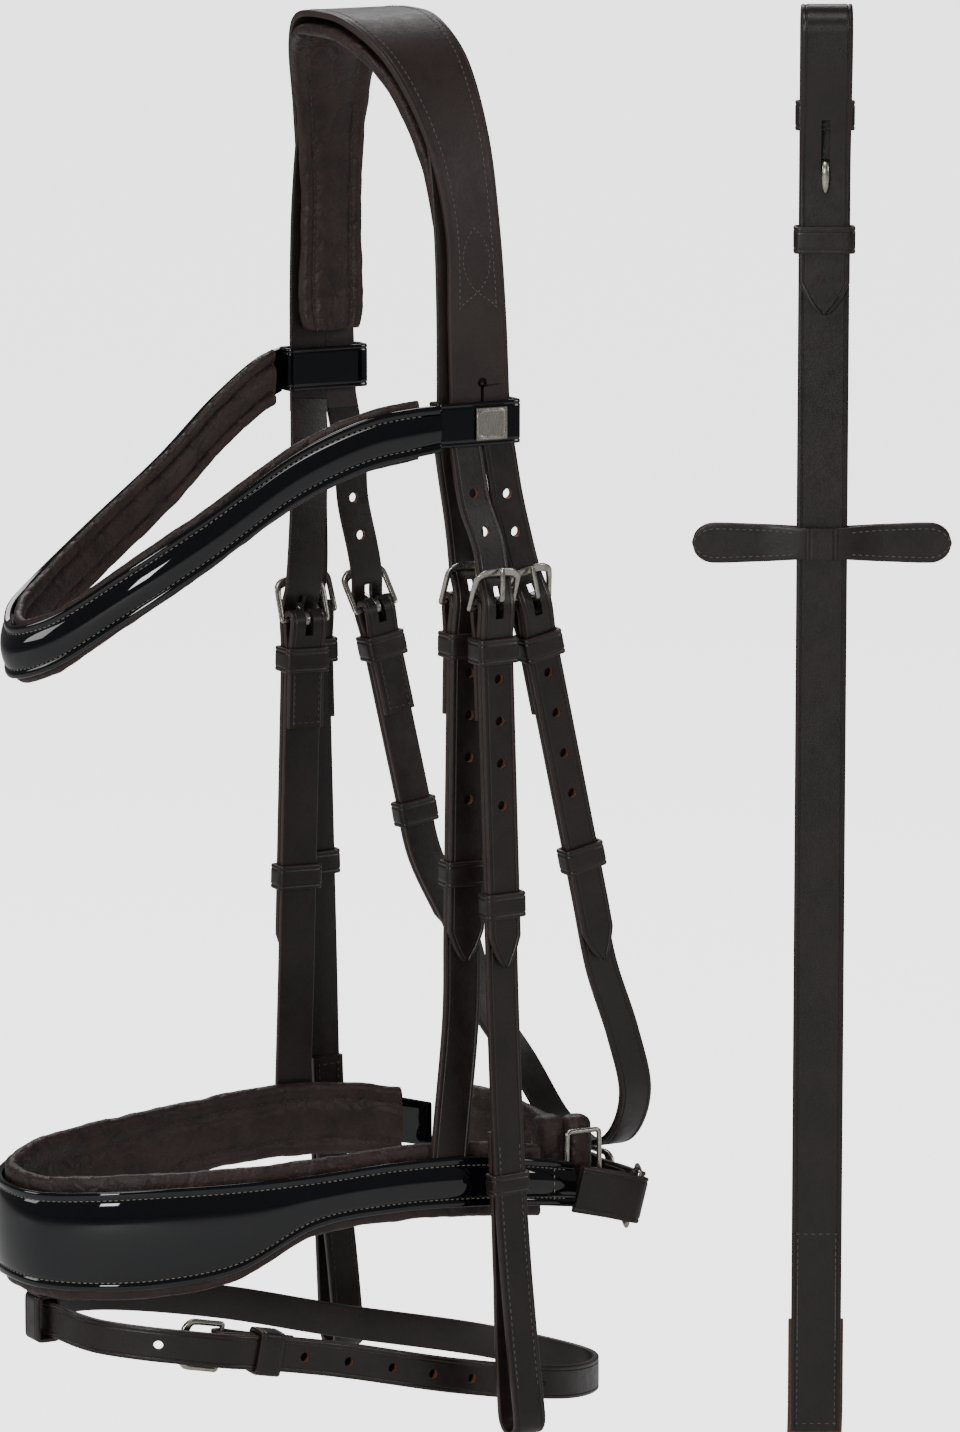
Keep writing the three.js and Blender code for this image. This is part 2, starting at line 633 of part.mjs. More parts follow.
function noseband() {
  const edge = (column) => (row, side) => vec(side * row[0], row[1], row[column]);
  const edges = [2, 3].map((column) => mirrored(NOSEBAND_ROWS, edge(column)));
  const stations = between(...edges, NOSEBAND_STEPS);
  add("noseband", strip(stations, NOSEBAND_THICKNESS), patent());
  const lift = -(NOSEBAND_THICKNESS + NOSE_LINING_THICKNESS) / 2 - CLEARANCE;
  const inner = shifted(stations, lift, 2 * NOSE_LINING_MARGIN);
  const padded = inner.slice(NOSE_LINING_ENDS, -NOSE_LINING_ENDS);
  add("noseband_lining", strip(padded, NOSE_LINING_THICKNESS), lining());
}

/** A flat rectangular ring standing between two bars that are span apart. */
function ringGeometry(width, span, bar) {
  const outer = [width / 2 + bar, span + bar / 2];
  const inner = [width / 2, span - bar / 2];
  const corner = (x, y) => new THREE.Vector2(x, y);
  const outline = new THREE.Shape([
    corner(-outer[0], -bar / 2), corner(outer[0], -bar / 2), corner(outer[0], outer[1]),
    corner(-outer[0], outer[1]),
  ]);
  outline.holes.push(new THREE.Path([
    corner(-inner[0], bar / 2), corner(-inner[0], inner[1]), corner(inner[0], inner[1]),
    corner(inner[0], bar / 2),
  ]));
  return new THREE.ExtrudeGeometry(outline, { depth: 2, bevelEnabled: false }).translate(0, 0, -1);
}

function crankClosure() {
  const tabRoute = new Route(points(TAB_LINE), vec(0, 0, -1));
  const route = new Route(points(CRANK_LINE), vec(0, 0.28, 1));
  const tabPath = [...foldPath(0, 22), [tabRoute.length, PLY / 2]];
  const tab = strip(along(tabRoute, tabPath, CRANK_WIDTH), LEATHER);
  add("crank_tab", tab, leather());

  const cornerFrame = tabRoute.at(0);
  const corner = vec(0, 0, 0).setFromMatrixPosition(cornerFrame);
  const medial = vec(0, 0, 0).setFromMatrixPosition(route.at(0, -PLY / 2)).sub(corner);
  const across = vec(0, 0, 0).setFromMatrixColumn(cornerFrame, 0);
  const up = medial.clone().normalize();
  const normal = across.clone().cross(up).normalize();
  const ringFrame = new THREE.Matrix4().makeBasis(up.clone().cross(normal), up, normal);
  const ring = ringGeometry(CRANK_WIDTH + 2.4, medial.length(), 1.8 * BAR_RADIUS);
  add("crank_ring", ring, steel(), ringFrame.setPosition(corner));

  const wrapped = foldPath(0, CRANK_FOLD).map(([s, n]) => [s, n - PLY / 2]);
  const toBuckle = billetPath(0, CRANK_BAR, CRANK_REACH).slice(1);
  const billet = strip(pointed(along(route, [...wrapped, ...toBuckle], CRANK_WIDTH, 8)), LEATHER);
  const slot = punch(route, CRANK_BAR - 3, 5, [TONGUE_SLOT_WIDTH, 12, 12]);
  const holes = [18, 32].map((hole) => drill(route, CRANK_BAR + hole, BILLET_LIFT, HOLE_RADIUS));
  add("crank_billet", cut(billet, [slot, ...holes]), leather());
  add("crank_buckle", frameGeometry(CRANK_WIDTH), steel(), route.at(CRANK_BAR));
  add("crank_tongue", tongueGeometry(), steel(), route.at(CRANK_BAR));
  const path = [...foldPath(CRANK_BAR, CRANK_FOLD), [route.length, PLY / 2]];
  const strap = strip(along(route, path, CRANK_WIDTH, 8), LEATHER);
  add("crank_strap", cut(strap, [tongueSlot(route, CRANK_BAR)]), leather());
  const keeper = loopGeometry(
    CRANK_WIDTH, BACK_OF_FOLD - 2 * CLEARANCE, FRONT_OF_BILLET + 2 * CLEARANCE, KEEPER_HEIGHT);
  add("crank_keeper", keeper, leather(), route.at(CRANK_BAR + FIXED_KEEPER_DROP + 3));
}

function chinPad() {
  const route = new Route(points(CHIN_LINE), vec(0, 0, 1));
  const pad = strip(along(route, [[2, 0], [route.length, 0]], CHIN_HEIGHT, 10), CHIN_THICKNESS);
  const rolls = points(CHIN_ROLLS).map((centre) => {
    const roll = new THREE.CylinderGeometry(CHIN_ROLL_RADIUS, CHIN_ROLL_RADIUS, CHIN_HEIGHT + 2, 14);
    return roll.rotateX(Math.PI / 2).translate(...centre.toArray());
  });
  add("chin_pad", join(pad, rolls), lining());
  const [height, depth] = CHIN_RING.inner;
  const [x, y, z] = CHIN_RING.centre;
  const frame = new THREE.Matrix4().makeBasis(vec(0, 0, -1), vec(0, 1, 0), vec(1, 0, 0));
  add("chin_ring", ringGeometry(height, depth + 2, 2), steel(), frame.setPosition(x, y - depth / 2, z));
}

function flash() {
  const route = new Route(points(FLASH_LINE), vec(0, 0, 1), true);
  const lap = route.length;
  const path = [
    ...foldPath(FLASH_BAR, FOLD_LENGTH - 12), [lap - 40, PLY / 2], [lap - 14, 0], [lap, 0.3], [lap + 12, 0.6],
    [lap + 30, FLASH_LIFT - 1.5], [lap + FLASH_BAR - 24, FLASH_LIFT], [lap + FLASH_BAR + 4, FLASH_LIFT],
    [lap + FLASH_BAR + 14, BILLET_LIFT], ...tipPath(lap + FLASH_BAR + FLASH_REACH, BILLET_LIFT),
  ];
  const strap = strip(pointed(along(route, path, CHEEK_WIDTH, 16)), LEATHER);
  const liftAt = (hole) => (hole < 0 ? 6 : BILLET_LIFT);
  const bits = FLASH_HOLES.map((hole) => {
    return drill(route, FLASH_BAR + hole, liftAt(hole), HOLE_RADIUS);
  });
  const slot = punch(route, FLASH_BAR + 0.5, -0.2, [TONGUE_SLOT_WIDTH, 10.6, 10]);
  add("flash_strap", cut(strap, [slot, ...bits]), leather());
  add("flash_buckle", frameGeometry(CHEEK_WIDTH, 0), steel(), route.at(FLASH_BAR));
  add("flash_tongue", tongueGeometry(FLASH_TONGUE_RISE), steel(), route.at(FLASH_BAR));
  const keeper = loopGeometry(CHEEK_WIDTH, BACK_OF_FOLD - CLEARANCE, FRONT_OF_BILLET + CLEARANCE, 10);
  add("flash_keeper", keeper, leather(), route.at(FLASH_BAR + 18));
  const hung = loopGeometry(CHEEK_WIDTH + 1.4, -LEATHER / 2 - 1.6, LEATHER / 2 + 2.6, 11);
  add("flash_loop", hung, leather(), route.at(0));
}

// ---------------------------------------------------------------- rein

function reinRoute() {
  const [x, y] = REIN_PLACE;
  const line = straight(vec(x, y, REIN_TOP), vec(x, y, REIN_TOP - REIN_END), 8);
  return new Route(line, vec(Math.cos(REIN_TURN), Math.sin(REIN_TURN), 0));
}

function rein() {
  const route = reinRoute();
  const path = [[REIN_END, 0], [60, 0], [22, 0]];
  for (let angle = -75; angle <= 75; angle += 30) {
    const turn = degrees(angle);
    path.push([REIN_LOOP * (1 - Math.cos(turn)), REIN_LOOP * (1 + Math.sin(turn))]);
  }
  path.push([20, 14.6], [34, 10.4], [48, 5.6], [60, PLY], ...tipPath(REIN_TIP, PLY));
  const strap = strip(pointed(along(route, path, REIN_WIDTH, 60)), LEATHER);
  const slit = punch(route, REIN_STUD - 6, 5.5, [TONGUE_SLOT_WIDTH, 20, 8]);
  add("rein_strap", cut(strap, [slit]), leather());

  const hook = new THREE.Shape([
    new THREE.Vector2(-2, 1.6), new THREE.Vector2(2, 1.6), new THREE.Vector2(2, 5.6),
    new THREE.Vector2(1, 7.4), new THREE.Vector2(-10, 7.6), new THREE.Vector2(-11, 6.4),
    new THREE.Vector2(-10, 5.6), new THREE.Vector2(-2, 5.4),
  ]);
  add("rein_stud", sideways(hook, 2.2), steel(), route.at(REIN_STUD));

  const single = loopGeometry(REIN_WIDTH, -LEATHER / 2 - CLEARANCE, LEATHER / 2 + CLEARANCE, 11, 1.3);
  add("rein_upper_keeper", single, leather(), route.at(REIN_UPPER_KEEPER));
  const double = loopGeometry(REIN_WIDTH, -LEATHER / 2 - CLEARANCE, PLY + LEATHER / 2 + CLEARANCE, 10);
  add("rein_lower_keeper", double, leather(), route.at(REIN_LOWER_KEEPER));
  reinStop(route);
  reinRoll(route);
}

/** The stop: a flat leather bar with rounded ends that the rein passes through. */
function reinStop(route) {
  const [length, height, thickness] = REIN_STOP_SIZE;
  const [a, b] = [length / 2, height / 2];
  const outline = new THREE.Shape().moveTo(-a + 10, -b).lineTo(a - 10, -b);
  outline.quadraticCurveTo(a - 3, -b, a, 0).quadraticCurveTo(a - 3, b, a - 10, b).lineTo(-a + 10, b);
  outline.quadraticCurveTo(-a + 3, b, -a, 0).quadraticCurveTo(-a + 3, -b, -a + 10, -b);
  const flat = { depth: thickness, bevelEnabled: false, curveSegments: 4 };
  const bar = new THREE.ExtrudeGeometry(outline, flat).translate(0, 0, -thickness / 2);
  const room = LEATHER + 2 * CLEARANCE;
  const opening = new THREE.BoxGeometry(REIN_WIDTH + 2 * CLEARANCE, height + 4, room);
  add("rein_stop", cut(bar, [opening]), leather(), route.at(REIN_STOP));
}

/** The rest of the rein's webbing, rolled up under its leather end and tied. */
function reinRoll(route) {
  const behind = -(LEATHER + WEB_THICKNESS) / 2 - CLEARANCE;
  const reach = ROLL_OUTER + WEB_THICKNESS / 2 + CLEARANCE;
  const path = [[WEB_START, behind], [REIN_END - 8, behind], [REIN_END + 3, -7.5]];
  path.push([REIN_END + 15, -15.8]);
  path.push([ROLL_CENTRE - reach / 2, -reach * Math.sin(Math.PI / 3) - 0.3]);
  add("rein_web", strip(along(route, path, WEB_WIDTH), WEB_THICKNESS), webbing());
  const half = WEB_WIDTH / 2;
  const profile = [[ROLL_INNER, -half], [ROLL_OUTER, -half], [ROLL_OUTER, half], [ROLL_INNER, half]];
  profile.push(profile[0]);
  const roll = new THREE.LatheGeometry(profile.map(([r, h]) => new THREE.Vector2(r, h)), 28);
  add("rein_roll", roll.rotateZ(Math.PI / 2), webbing(), route.at(ROLL_CENTRE));
  const tie = loopGeometry(WEB_WIDTH, ROLL_INNER - 0.6, ROLL_OUTER + CLEARANCE, 7, 1.2);
  const low = route.at(ROLL_CENTRE).multiply(new THREE.Matrix4().makeRotationX(-Math.PI / 2));
  add("rein_tie", tie, leather(), low);
}

headpiece();
browband();
for (const side of SIDES) {
  cheekpiece(side);
  hanger(side);
}
throatlatch();
noseband();
crankClosure();
chinPad();
flash();
rein();

export default root;
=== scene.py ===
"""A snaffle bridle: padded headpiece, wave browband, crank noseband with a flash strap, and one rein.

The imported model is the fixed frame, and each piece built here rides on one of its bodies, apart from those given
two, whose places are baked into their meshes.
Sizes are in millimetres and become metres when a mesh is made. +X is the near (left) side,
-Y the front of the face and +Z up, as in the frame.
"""

import logging  # noqa: E402
import math  # noqa: E402
from collections import defaultdict  # noqa: E402
from dataclasses import dataclass, field  # noqa: E402
from enum import Enum  # noqa: E402
from typing import Callable, Sequence  # noqa: E402

import bpy  # noqa: E402
import numpy as np  # noqa: E402
from mathutils import Matrix, Vector, noise  # noqa: E402


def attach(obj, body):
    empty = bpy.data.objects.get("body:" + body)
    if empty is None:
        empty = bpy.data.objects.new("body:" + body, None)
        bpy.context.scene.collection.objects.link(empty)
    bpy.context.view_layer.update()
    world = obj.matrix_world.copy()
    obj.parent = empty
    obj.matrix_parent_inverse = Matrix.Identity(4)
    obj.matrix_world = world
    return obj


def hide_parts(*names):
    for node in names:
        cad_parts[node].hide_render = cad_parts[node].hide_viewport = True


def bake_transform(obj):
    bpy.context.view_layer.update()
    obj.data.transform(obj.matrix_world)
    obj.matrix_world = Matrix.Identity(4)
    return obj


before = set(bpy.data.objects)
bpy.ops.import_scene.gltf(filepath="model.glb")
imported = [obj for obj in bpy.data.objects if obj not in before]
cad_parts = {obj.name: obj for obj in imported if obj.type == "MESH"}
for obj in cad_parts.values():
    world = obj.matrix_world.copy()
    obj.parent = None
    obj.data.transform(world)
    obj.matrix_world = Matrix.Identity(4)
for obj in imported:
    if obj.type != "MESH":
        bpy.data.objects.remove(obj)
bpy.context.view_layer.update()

LOG = logging.getLogger("bridle")
MM = 0.001
Array = np.ndarray
Pairs = Sequence[Sequence[float]]

# Leather
LEATHER = 2.6
PLY = 3.0
CHEEK_WIDTH = 13.0
HANGER_WIDTH = 15.0
TIP_LENGTH = 12.0
CLEARANCE = 0.3
CREASE_INSET = 1.7
SEAM_INSET = 2.3

# Buckles and keepers
FRAME_WALL = 2.3
FRAME_SIDE_ROOM = 1.1
FRAME_LEAN = 0.42
TONGUE_RISE = 8.4
WRAP_RADIUS = 3.35
FOLD_LENGTH = 42.0
BILLET_LIFT = PLY * 1.5
BILLET_REACH = 136.0
KEEPER_WALL = 1.7
KEEPER_HEIGHT = 9.5
FIXED_KEEPER_DROP = 15.5
BACK_OF_FOLD = -PLY / 2 - LEATHER / 2
BACK_OF_STRAP = PLY / 2 - LEATHER / 2
FRONT_OF_BILLET = BILLET_LIFT + LEATHER / 2
HOLE_RADIUS = 1.9
SLOT_WIDTH = 3.2
BILLET_TOP = -150.4
BILLET_TUCK = 5.0
BAR_Z = -208.0
SLIPHEAD_LIFT = -2.45
SLIPHEAD_THICKNESS = 1.6

# ------------------------------------------------------------------ lines and straps


def unit(vectors: Array) -> Array:
    """The same directions with length one."""
    return vectors / np.maximum(np.linalg.norm(vectors, axis=-1, keepdims=True), 1e-12)


def catmull_rom(points: Array, turns: Array, closed: bool = False) -> Array:
    """Points of a centripetal Catmull-Rom curve.

    Args:
        points: the points it passes through.
        turns: places along it, from 0 to 1.
        closed: whether it comes back to its start.

    Returns:
        One point for each place.
    """
    count = len(points)
    place = np.asarray(turns, float) * (count if closed else count - 1)
    index = np.floor(place + 1e-12).astype(int)
    if not closed:
        index = np.minimum(index, count - 2)
    weight = (place - index)[:, None]
    first, second = points[index % count], points[(index + 1) % count]
    before, after = points[(index - 1) % count], points[(index + 2) % count]
    if not closed:
        before = np.where((index > 0)[:, None], before, 2 * points[0] - points[1])
        after = np.where((index + 2 < count)[:, None], after, 2 * points[-1] - points[-2])
    gaps = [np.sqrt(np.linalg.norm(b - a, axis=1))[:, None] for a, b in
            ((before, first), (first, second), (second, after))]
    start, middle, end = (np.maximum(gap, 1e-4) for gap in gaps)
    leave = ((first - before) / start - (second - before) / (start + middle) + (second - first) / middle) * middle
    reach = ((second - first) / middle - (after - first) / (middle + end) + (after - second) / end) * middle
    cubic = 2 * first - 2 * second + leave + reach
    square = -3 * first + 3 * second - 2 * leave - reach
    return first + weight * (leave + weight * (square + weight * cubic))


class Route:
    """A strap's centre line, measured by distance, with x across it, y back up it and z outwards."""

    def __init__(self, points: Pairs, across: Sequence[float], closed: bool = False) -> None:
        """Samples the line finely enough for its distances and directions."""
        self.closed = closed
        self.hint = np.asarray(across, float)
        self.line = catmull_rom(np.asarray(points, float), np.linspace(0, 1, 601), closed)
        steps = np.linalg.norm(np.diff(self.line, axis=0), axis=1)
        self.gone = np.concatenate([[0.0], np.cumsum(steps)])
        self.length = float(self.gone[-1])
        slope = np.gradient(self.line, self.gone, axis=0)
        if closed:
            slope[0] = slope[-1] = unit(self.line[1] - self.line[0]) + unit(self.line[-1] - self.line[-2])
        self.slope = unit(slope)

    def at(self, distance: Array, lift: Array) -> tuple[Array, Array, Array, Array]:
        """Point, across, down and out directions at each distance and lift."""
        distance = np.atleast_1d(np.asarray(distance, float))
        held = np.mod(distance, self.length) if self.closed else np.clip(distance, 0, self.length)
        point = np.stack([np.interp(held, self.gone, self.line[:, i]) for i in range(3)], 1)
        down = unit(np.stack([np.interp(held, self.gone, self.slope[:, i]) for i in range(3)], 1))
        if not self.closed:
            point = point + down * (distance - held)[:, None]
        across = unit(self.hint - down * (down @ self.hint)[:, None])
        out = np.cross(down, across)
        return point + out * np.atleast_1d(lift)[:, None], across, down, out

    def frame(self, distance: float, lift: float = 0.0) -> Array:
        """The 4x4 matrix of the line's frame at a distance."""
        point, across, down, out = (row[0] for row in self.at(distance, lift))
        matrix = np.eye(4)
        matrix[:3, 0], matrix[:3, 1], matrix[:3, 2], matrix[:3, 3] = across, -down, out, point
        return matrix

    def distance_at(self, height: float) -> float:
        """The distance at which the falling line is at a height."""
        return float(np.interp(-height, -self.line[:, 2], self.gone))


@dataclass
class Band:
    """Stations of a strap: points, directions across it and widths."""

    point: Array
    across: Array
    width: Array

    @property
    def out(self) -> Array:
        """The outward direction at each station."""
        return unit(np.cross(np.gradient(self.point, axis=0), self.across))

    @property
    def gone(self) -> Array:
        """The distance from the first station."""
        steps = np.linalg.norm(np.diff(self.point, axis=0), axis=1)
        return np.concatenate([[0.0], np.cumsum(steps)])

    def shifted(self, lift: float, extra: float = 0.0) -> "Band":
        """The band moved outwards by lift and made wider by extra."""
        return Band(self.point + self.out * lift, self.across, self.width + extra)

    def part(self, start: float, end: float) -> "Band":
        """The stations between two shares of their number."""
        low, high = (round(share * (len(self.width) - 1)) for share in (start, end))
        rows = slice(low, high + 1)
        return Band(self.point[rows], self.across[rows], self.width[rows])

    def reversed(self) -> "Band":
        """The band run the other way, with the same side outwards."""
        return Band(self.point[::-1], -self.across[::-1], self.width[::-1])

    def joined(self, other: "Band") -> "Band":
        """This band followed by another."""
        return Band(*(np.concatenate(pair) for pair in
                      ((self.point, other.point), (self.across, other.across), (self.width, other.width))))


def softened(path: Pairs, step: float, passes: int = 6) -> Array:
    """A path of (distance, lift) pairs with its corners rounded, in even steps.

    Args:
        path: the corners.
        step: the spacing of the result.
        passes: how often each point moves towards its neighbours.

    Returns:
        The points, ends kept.
    """
    corners = np.asarray(path, float)
    gone = np.concatenate([[0.0], np.cumsum(np.linalg.norm(np.diff(corners, axis=0), axis=1))])

    def spaced(rows: Array, marks: Array, spacing: float) -> Array:
        places = np.linspace(0, marks[-1], max(2, math.ceil(marks[-1] / spacing)) + 1)
        return np.stack([np.interp(places, marks, rows[:, i]) for i in range(2)], 1)

    dense = spaced(corners, gone, 0.9)
    for _ in range(passes):
        dense[1:-1] = 0.25 * dense[:-2] + 0.5 * dense[1:-1] + 0.25 * dense[2:]
    marks = np.concatenate([[0.0], np.cumsum(np.linalg.norm(np.diff(dense, axis=0), axis=1))])
    return spaced(dense, marks, step)


def along(route: Route, path: Pairs, width: float, step: float = 2.2, pointed: bool = False) -> Band:
    """A strap that follows a path of (distance, lift) pairs along a route.

    Args:
        route: the line it follows.
        path: its corners.
        width: its width.
        step: the spacing of its stations.
        pointed: whether its last end is a rounded point.

    Returns:
        The strap's stations.
    """
    places = softened(path, step)
    if pointed:
        tip = places[-1] - np.outer(TIP_LENGTH * np.linspace(1, 0, 22) ** 1.6, unit(places[-1] - places[-4]))
        gone = np.concatenate([[0.0], np.cumsum(np.linalg.norm(np.diff(places, axis=0), axis=1))])
        places = np.concatenate([places[gone < gone[-1] - TIP_LENGTH - 0.5 * step], tip])
    point, across, _, _ = route.at(places[:, 0], places[:, 1])
    widths = np.full(len(point), float(width))
    if pointed:
        steps = np.linalg.norm(np.diff(point, axis=0), axis=1)
        back = np.minimum(np.append(np.cumsum(steps[::-1])[::-1], 0.0) / TIP_LENGTH, 1)
        widths = np.maximum(width * back ** 0.55, 0.6)
    return Band(point, across, widths)


def between(edge_a: Pairs, edge_b: Pairs, steps: int) -> Band:
    """A band between two edge lines."""
    turns = np.linspace(0, 1, steps + 1)
    a, b = (catmull_rom(np.asarray(edge, float), turns) for edge in (edge_a, edge_b))
    return Band((a + b) / 2, unit(b - a), np.linalg.norm(b - a, axis=1))


def straight(start: Sequence[float], end: Sequence[float], count: int) -> list[Array]:
    """Evenly spaced points between two ends."""
    return list(np.linspace(start, end, count))


def mirrored(rows: Pairs, edge: Callable[[Sequence[float], int], Sequence[float]]) -> list[Sequence[float]]:
    """A line over both sides, from rows that go from the middle down one side."""
    return [edge(row, 1) for row in rows][::-1] + [edge(row, -1) for row in rows[1:]]


def fold_path(bar: float, length: float) -> list[list[float]]:
    """A buckle end: the strap's end, sewn behind, then round the bar and down the front."""
    path = [[bar + length, -PLY / 2], [bar + 11, -PLY / 2], [bar + 6, -2.4], [bar + 2, -3.2]]
    for angle in np.radians(range(-75, 76, 30)):
        path.append([bar - WRAP_RADIUS * math.cos(angle), WRAP_RADIUS * math.sin(angle)])
    return path + [[bar + 2, 3.2], [bar + 6, 2.4], [bar + 11, PLY / 2]]


def billet_path(top: float, bar: float, reach: float) -> list[list[float]]:
    """A billet: down from its top, under the frame, over the bar, then down the lower strap."""
    path = [[top, 0], [bar - 28, 0.4], [bar - 20, 0.9], [bar - 12, 2], [bar - 8, 4]]
    path += [[bar - 3, 6.3], [bar + 2, 6.3], [bar + 7, 5.3], [bar + 12, BILLET_LIFT]]
    return path + [[bar + reach, BILLET_LIFT]]


# ------------------------------------------------------------------ sections and meshes


@dataclass(frozen=True)
class Section:
    """Half of a strap's cross-section, from the middle of its back round its edge to the middle of its front.

    Each row is inset from the edge, share of the way from there to the middle, height, and a mask for worn edges and
    for painted highlights along creases.
    """

    rows: tuple[tuple[float, float, float, float], ...]

    def ring(self, width: Array) -> tuple[Array, Array, Array]:
        """Offsets across, heights and edge masks of the whole outline, for each width."""
        rows = np.array(self.rows)
        squeeze = np.minimum(1, width / 2 / (rows[:, 0].max() * 1.05))[:, None]
        half = (width[:, None] / 2 - rows[:, 0] * squeeze) * (1 - rows[:, 1])
        back = slice(len(rows) - 2, 0, -1)
        offsets = np.concatenate([-half, half[:, back]], 1)
        heights = np.concatenate([rows[:, 2], rows[back, 2]])
        masks = np.concatenate([rows[:, 3], rows[back, 3]])
        return offsets, heights, masks


def flat_section(thickness: float, crease: float = CREASE_INSET, depth: float = 0.3, both: bool = False) -> Section:
    """Flat leather with softened edges and, on its front or on both faces, a creased line inside each edge, whose mask
    lays a painted highlight along it.
    """
    t = thickness / 2
    b = min(0.75, t * 0.6)
    # the last number of each groove row lays the worn colour along the crease as a painted highlight
    grooves = ((-0.5, 0, 0.95), (-0.2, 0.8, 0.3), (0, 1, 0), (0.2, 0.8, 0), (0.45, 0, 0.4))
    rows = [(0, 1, -t, 0)]
    if both:
        rows += [(crease + step, 0, -t + depth * share, mask) for step, share, mask in grooves[::-1]]
    rows += [(1.1, 0, -t, 0.1), (0.35, 0, -t + 0.12 * b, 0.7), (0.08, 0, -t + 0.5 * b, 1)]
    rows += [(0, 0, -t + b, 1), (0, 0, t - b, 1), (0.08, 0, t - 0.5 * b, 1), (0.35, 0, t - 0.12 * b, 0.7)]
    rows += [(0.8, 0, t, 0.3)]
    if crease:
        rows += [(crease + step, 0, t - depth * share, mask) for step, share, mask in grooves]
    return Section(tuple(rows + [(max(crease, 1) + 1, 0, t, 0), (0, 1, t, 0)]))


def crowned_section(thickness: float, seam: float, crown: float) -> Section:
    """Padded leather: a flat margin, a sewn groove inside each edge and a rounded middle."""
    t = thickness / 2
    rows = [(0, 1, -t, 0), (2.6, 0.35, -t, 0), (1.2, 0, -t, 0.2), (0.35, 0, -t + 0.12, 0.7)]
    rows += [(0, 0, -t + 0.7, 1), (0, 0, t * 0.35, 1), (0.12, 0, t * 0.7, 1), (0.5, 0, t * 0.92, 0.6)]
    rows += [(1.1, 0, t, 0.2), (seam - 0.9, 0, t, 0), (seam - 0.35, 0, t - 0.3, 0), (seam, 0, t - 0.5, 0)]
    for share in (0.04, 0.1, 0.2, 0.34, 0.52, 0.75):
        rows.append((seam, share, t - 0.5 + (crown + 0.5) * math.sin(share * math.pi / 2) ** 0.62, 0))
    return Section(tuple(rows + [(seam, 1, t + crown, 0)]))


def rolled_section(thickness: float, channel: float, bulge: float) -> Section:
    """A soft lining: rolled edges, and a sewn channel at a share of the way to the middle on its inside."""
    t = thickness / 2
    rows = [(0, 1, -t - bulge, 0)]
    for share, height in ((0.82, -t - bulge * 0.9), (channel + 0.2, -t - bulge * 0.3), (channel + 0.07, -t + 0.7),
                          (channel, -t + 1.3), (channel - 0.07, -t + 0.7), (channel - 0.2, -t - bulge * 0.4)):
        rows.append((0, share, height, 0))
    for angle in np.radians((-78, -60, -40, -20, 0, 20, 40, 60, 78)):
        rows.append((t * (1 - math.cos(angle)), 0, t * math.sin(angle), 0.5 * math.cos(angle)))
    return Section(tuple(rows + [(t * 1.6, 0, t, 0), (0, 1, t, 0)]))


def round_section(thickness: float, steps: int = 5) -> Section:
    """A metal bar with fully rounded edges."""
    t = thickness / 2
    rows = [(0, 1, -t, 0)]
    for angle in np.linspace(-math.pi / 2, math.pi / 2, 2 * steps + 1):
        rows.append((t * 0.97 * (1 - math.cos(angle)), 0, t * math.sin(angle), 0.6))
    return Section(tuple(rows + [(0, 1, t, 0)]))


@dataclass
class Draft:
    """A mesh being made: points in millimetres, faces, edge masks, and places across and along."""

    points: Array
    faces: list[tuple[int, ...]]
    edge: Array
    uv: Array

    def __add__(self, other: "Draft") -> "Draft":
        """Both meshes as one."""
        shift = len(self.points)
        faces = self.faces + [tuple(i + shift for i in face) for face in other.faces]
        return Draft(np.concatenate([self.points, other.points]), faces,
                     np.concatenate([self.edge, other.edge]), np.concatenate([self.uv, other.uv]))

    def placed(self, matrix: Array) -> "Draft":
        """The mesh moved by a 4x4 matrix."""
        return Draft(self.points @ matrix[:3, :3].T + matrix[:3, 3], self.faces, self.edge, self.uv)

    def outward(self) -> "Draft":
        """The mesh with its faces turned outwards."""
        volume = 0.0
        for face in self.faces:
            a = self.points[face[0]]
            for b, c in zip(face[1:-1], face[2:]):
                volume += float(np.dot(a, np.cross(self.points[b], self.points[c])))
        faces = self.faces if volume > 0 else [face[::-1] for face in self.faces]
        return Draft(self.points, faces, self.edge, self.uv)


def sweep(band: Band, section: Section, closed: bool = False) -> Draft:
    """A solid whose cross-section follows a band.

    Args:
        band: the stations.
        section: the cross-section.
        closed: whether the last station joins the first.

    Returns:
        The solid, with caps on its ends if it is open.
    """
    if closed:
        loop = np.concatenate([band.point[-1:], band.point, band.point[:1]])
        tangent = np.gradient(loop, axis=0)[1:-1]
        out = unit(np.cross(tangent, band.across))
    else:
        out = band.out
    offsets, heights, masks = section.ring(band.width)
    points = band.point[:, None] + band.across[:, None] * offsets[..., None] + out[:, None] * heights[None, :, None]
    count, size = offsets.shape
    rows = np.arange(count if closed else count - 1)[:, None] * size
    ahead = (rows + size) % (count * size)
    here = np.arange(size)[None]
    beside = (here + 1) % size
    quads = np.stack([rows + here, ahead + here, ahead + beside, rows + beside], -1).reshape(-1, 4)
    faces = [tuple(int(i) for i in quad) for quad in quads]
    if not closed:
        faces += [tuple(range(size)), tuple(range((count - 1) * size, count * size))[::-1]]
    gone = np.repeat(band.gone[:, None], size, 1)
    uv = np.stack([offsets, gone], -1).reshape(-1, 2)
    return Draft(points.reshape(-1, 3), faces, np.tile(masks, count), uv).outward()


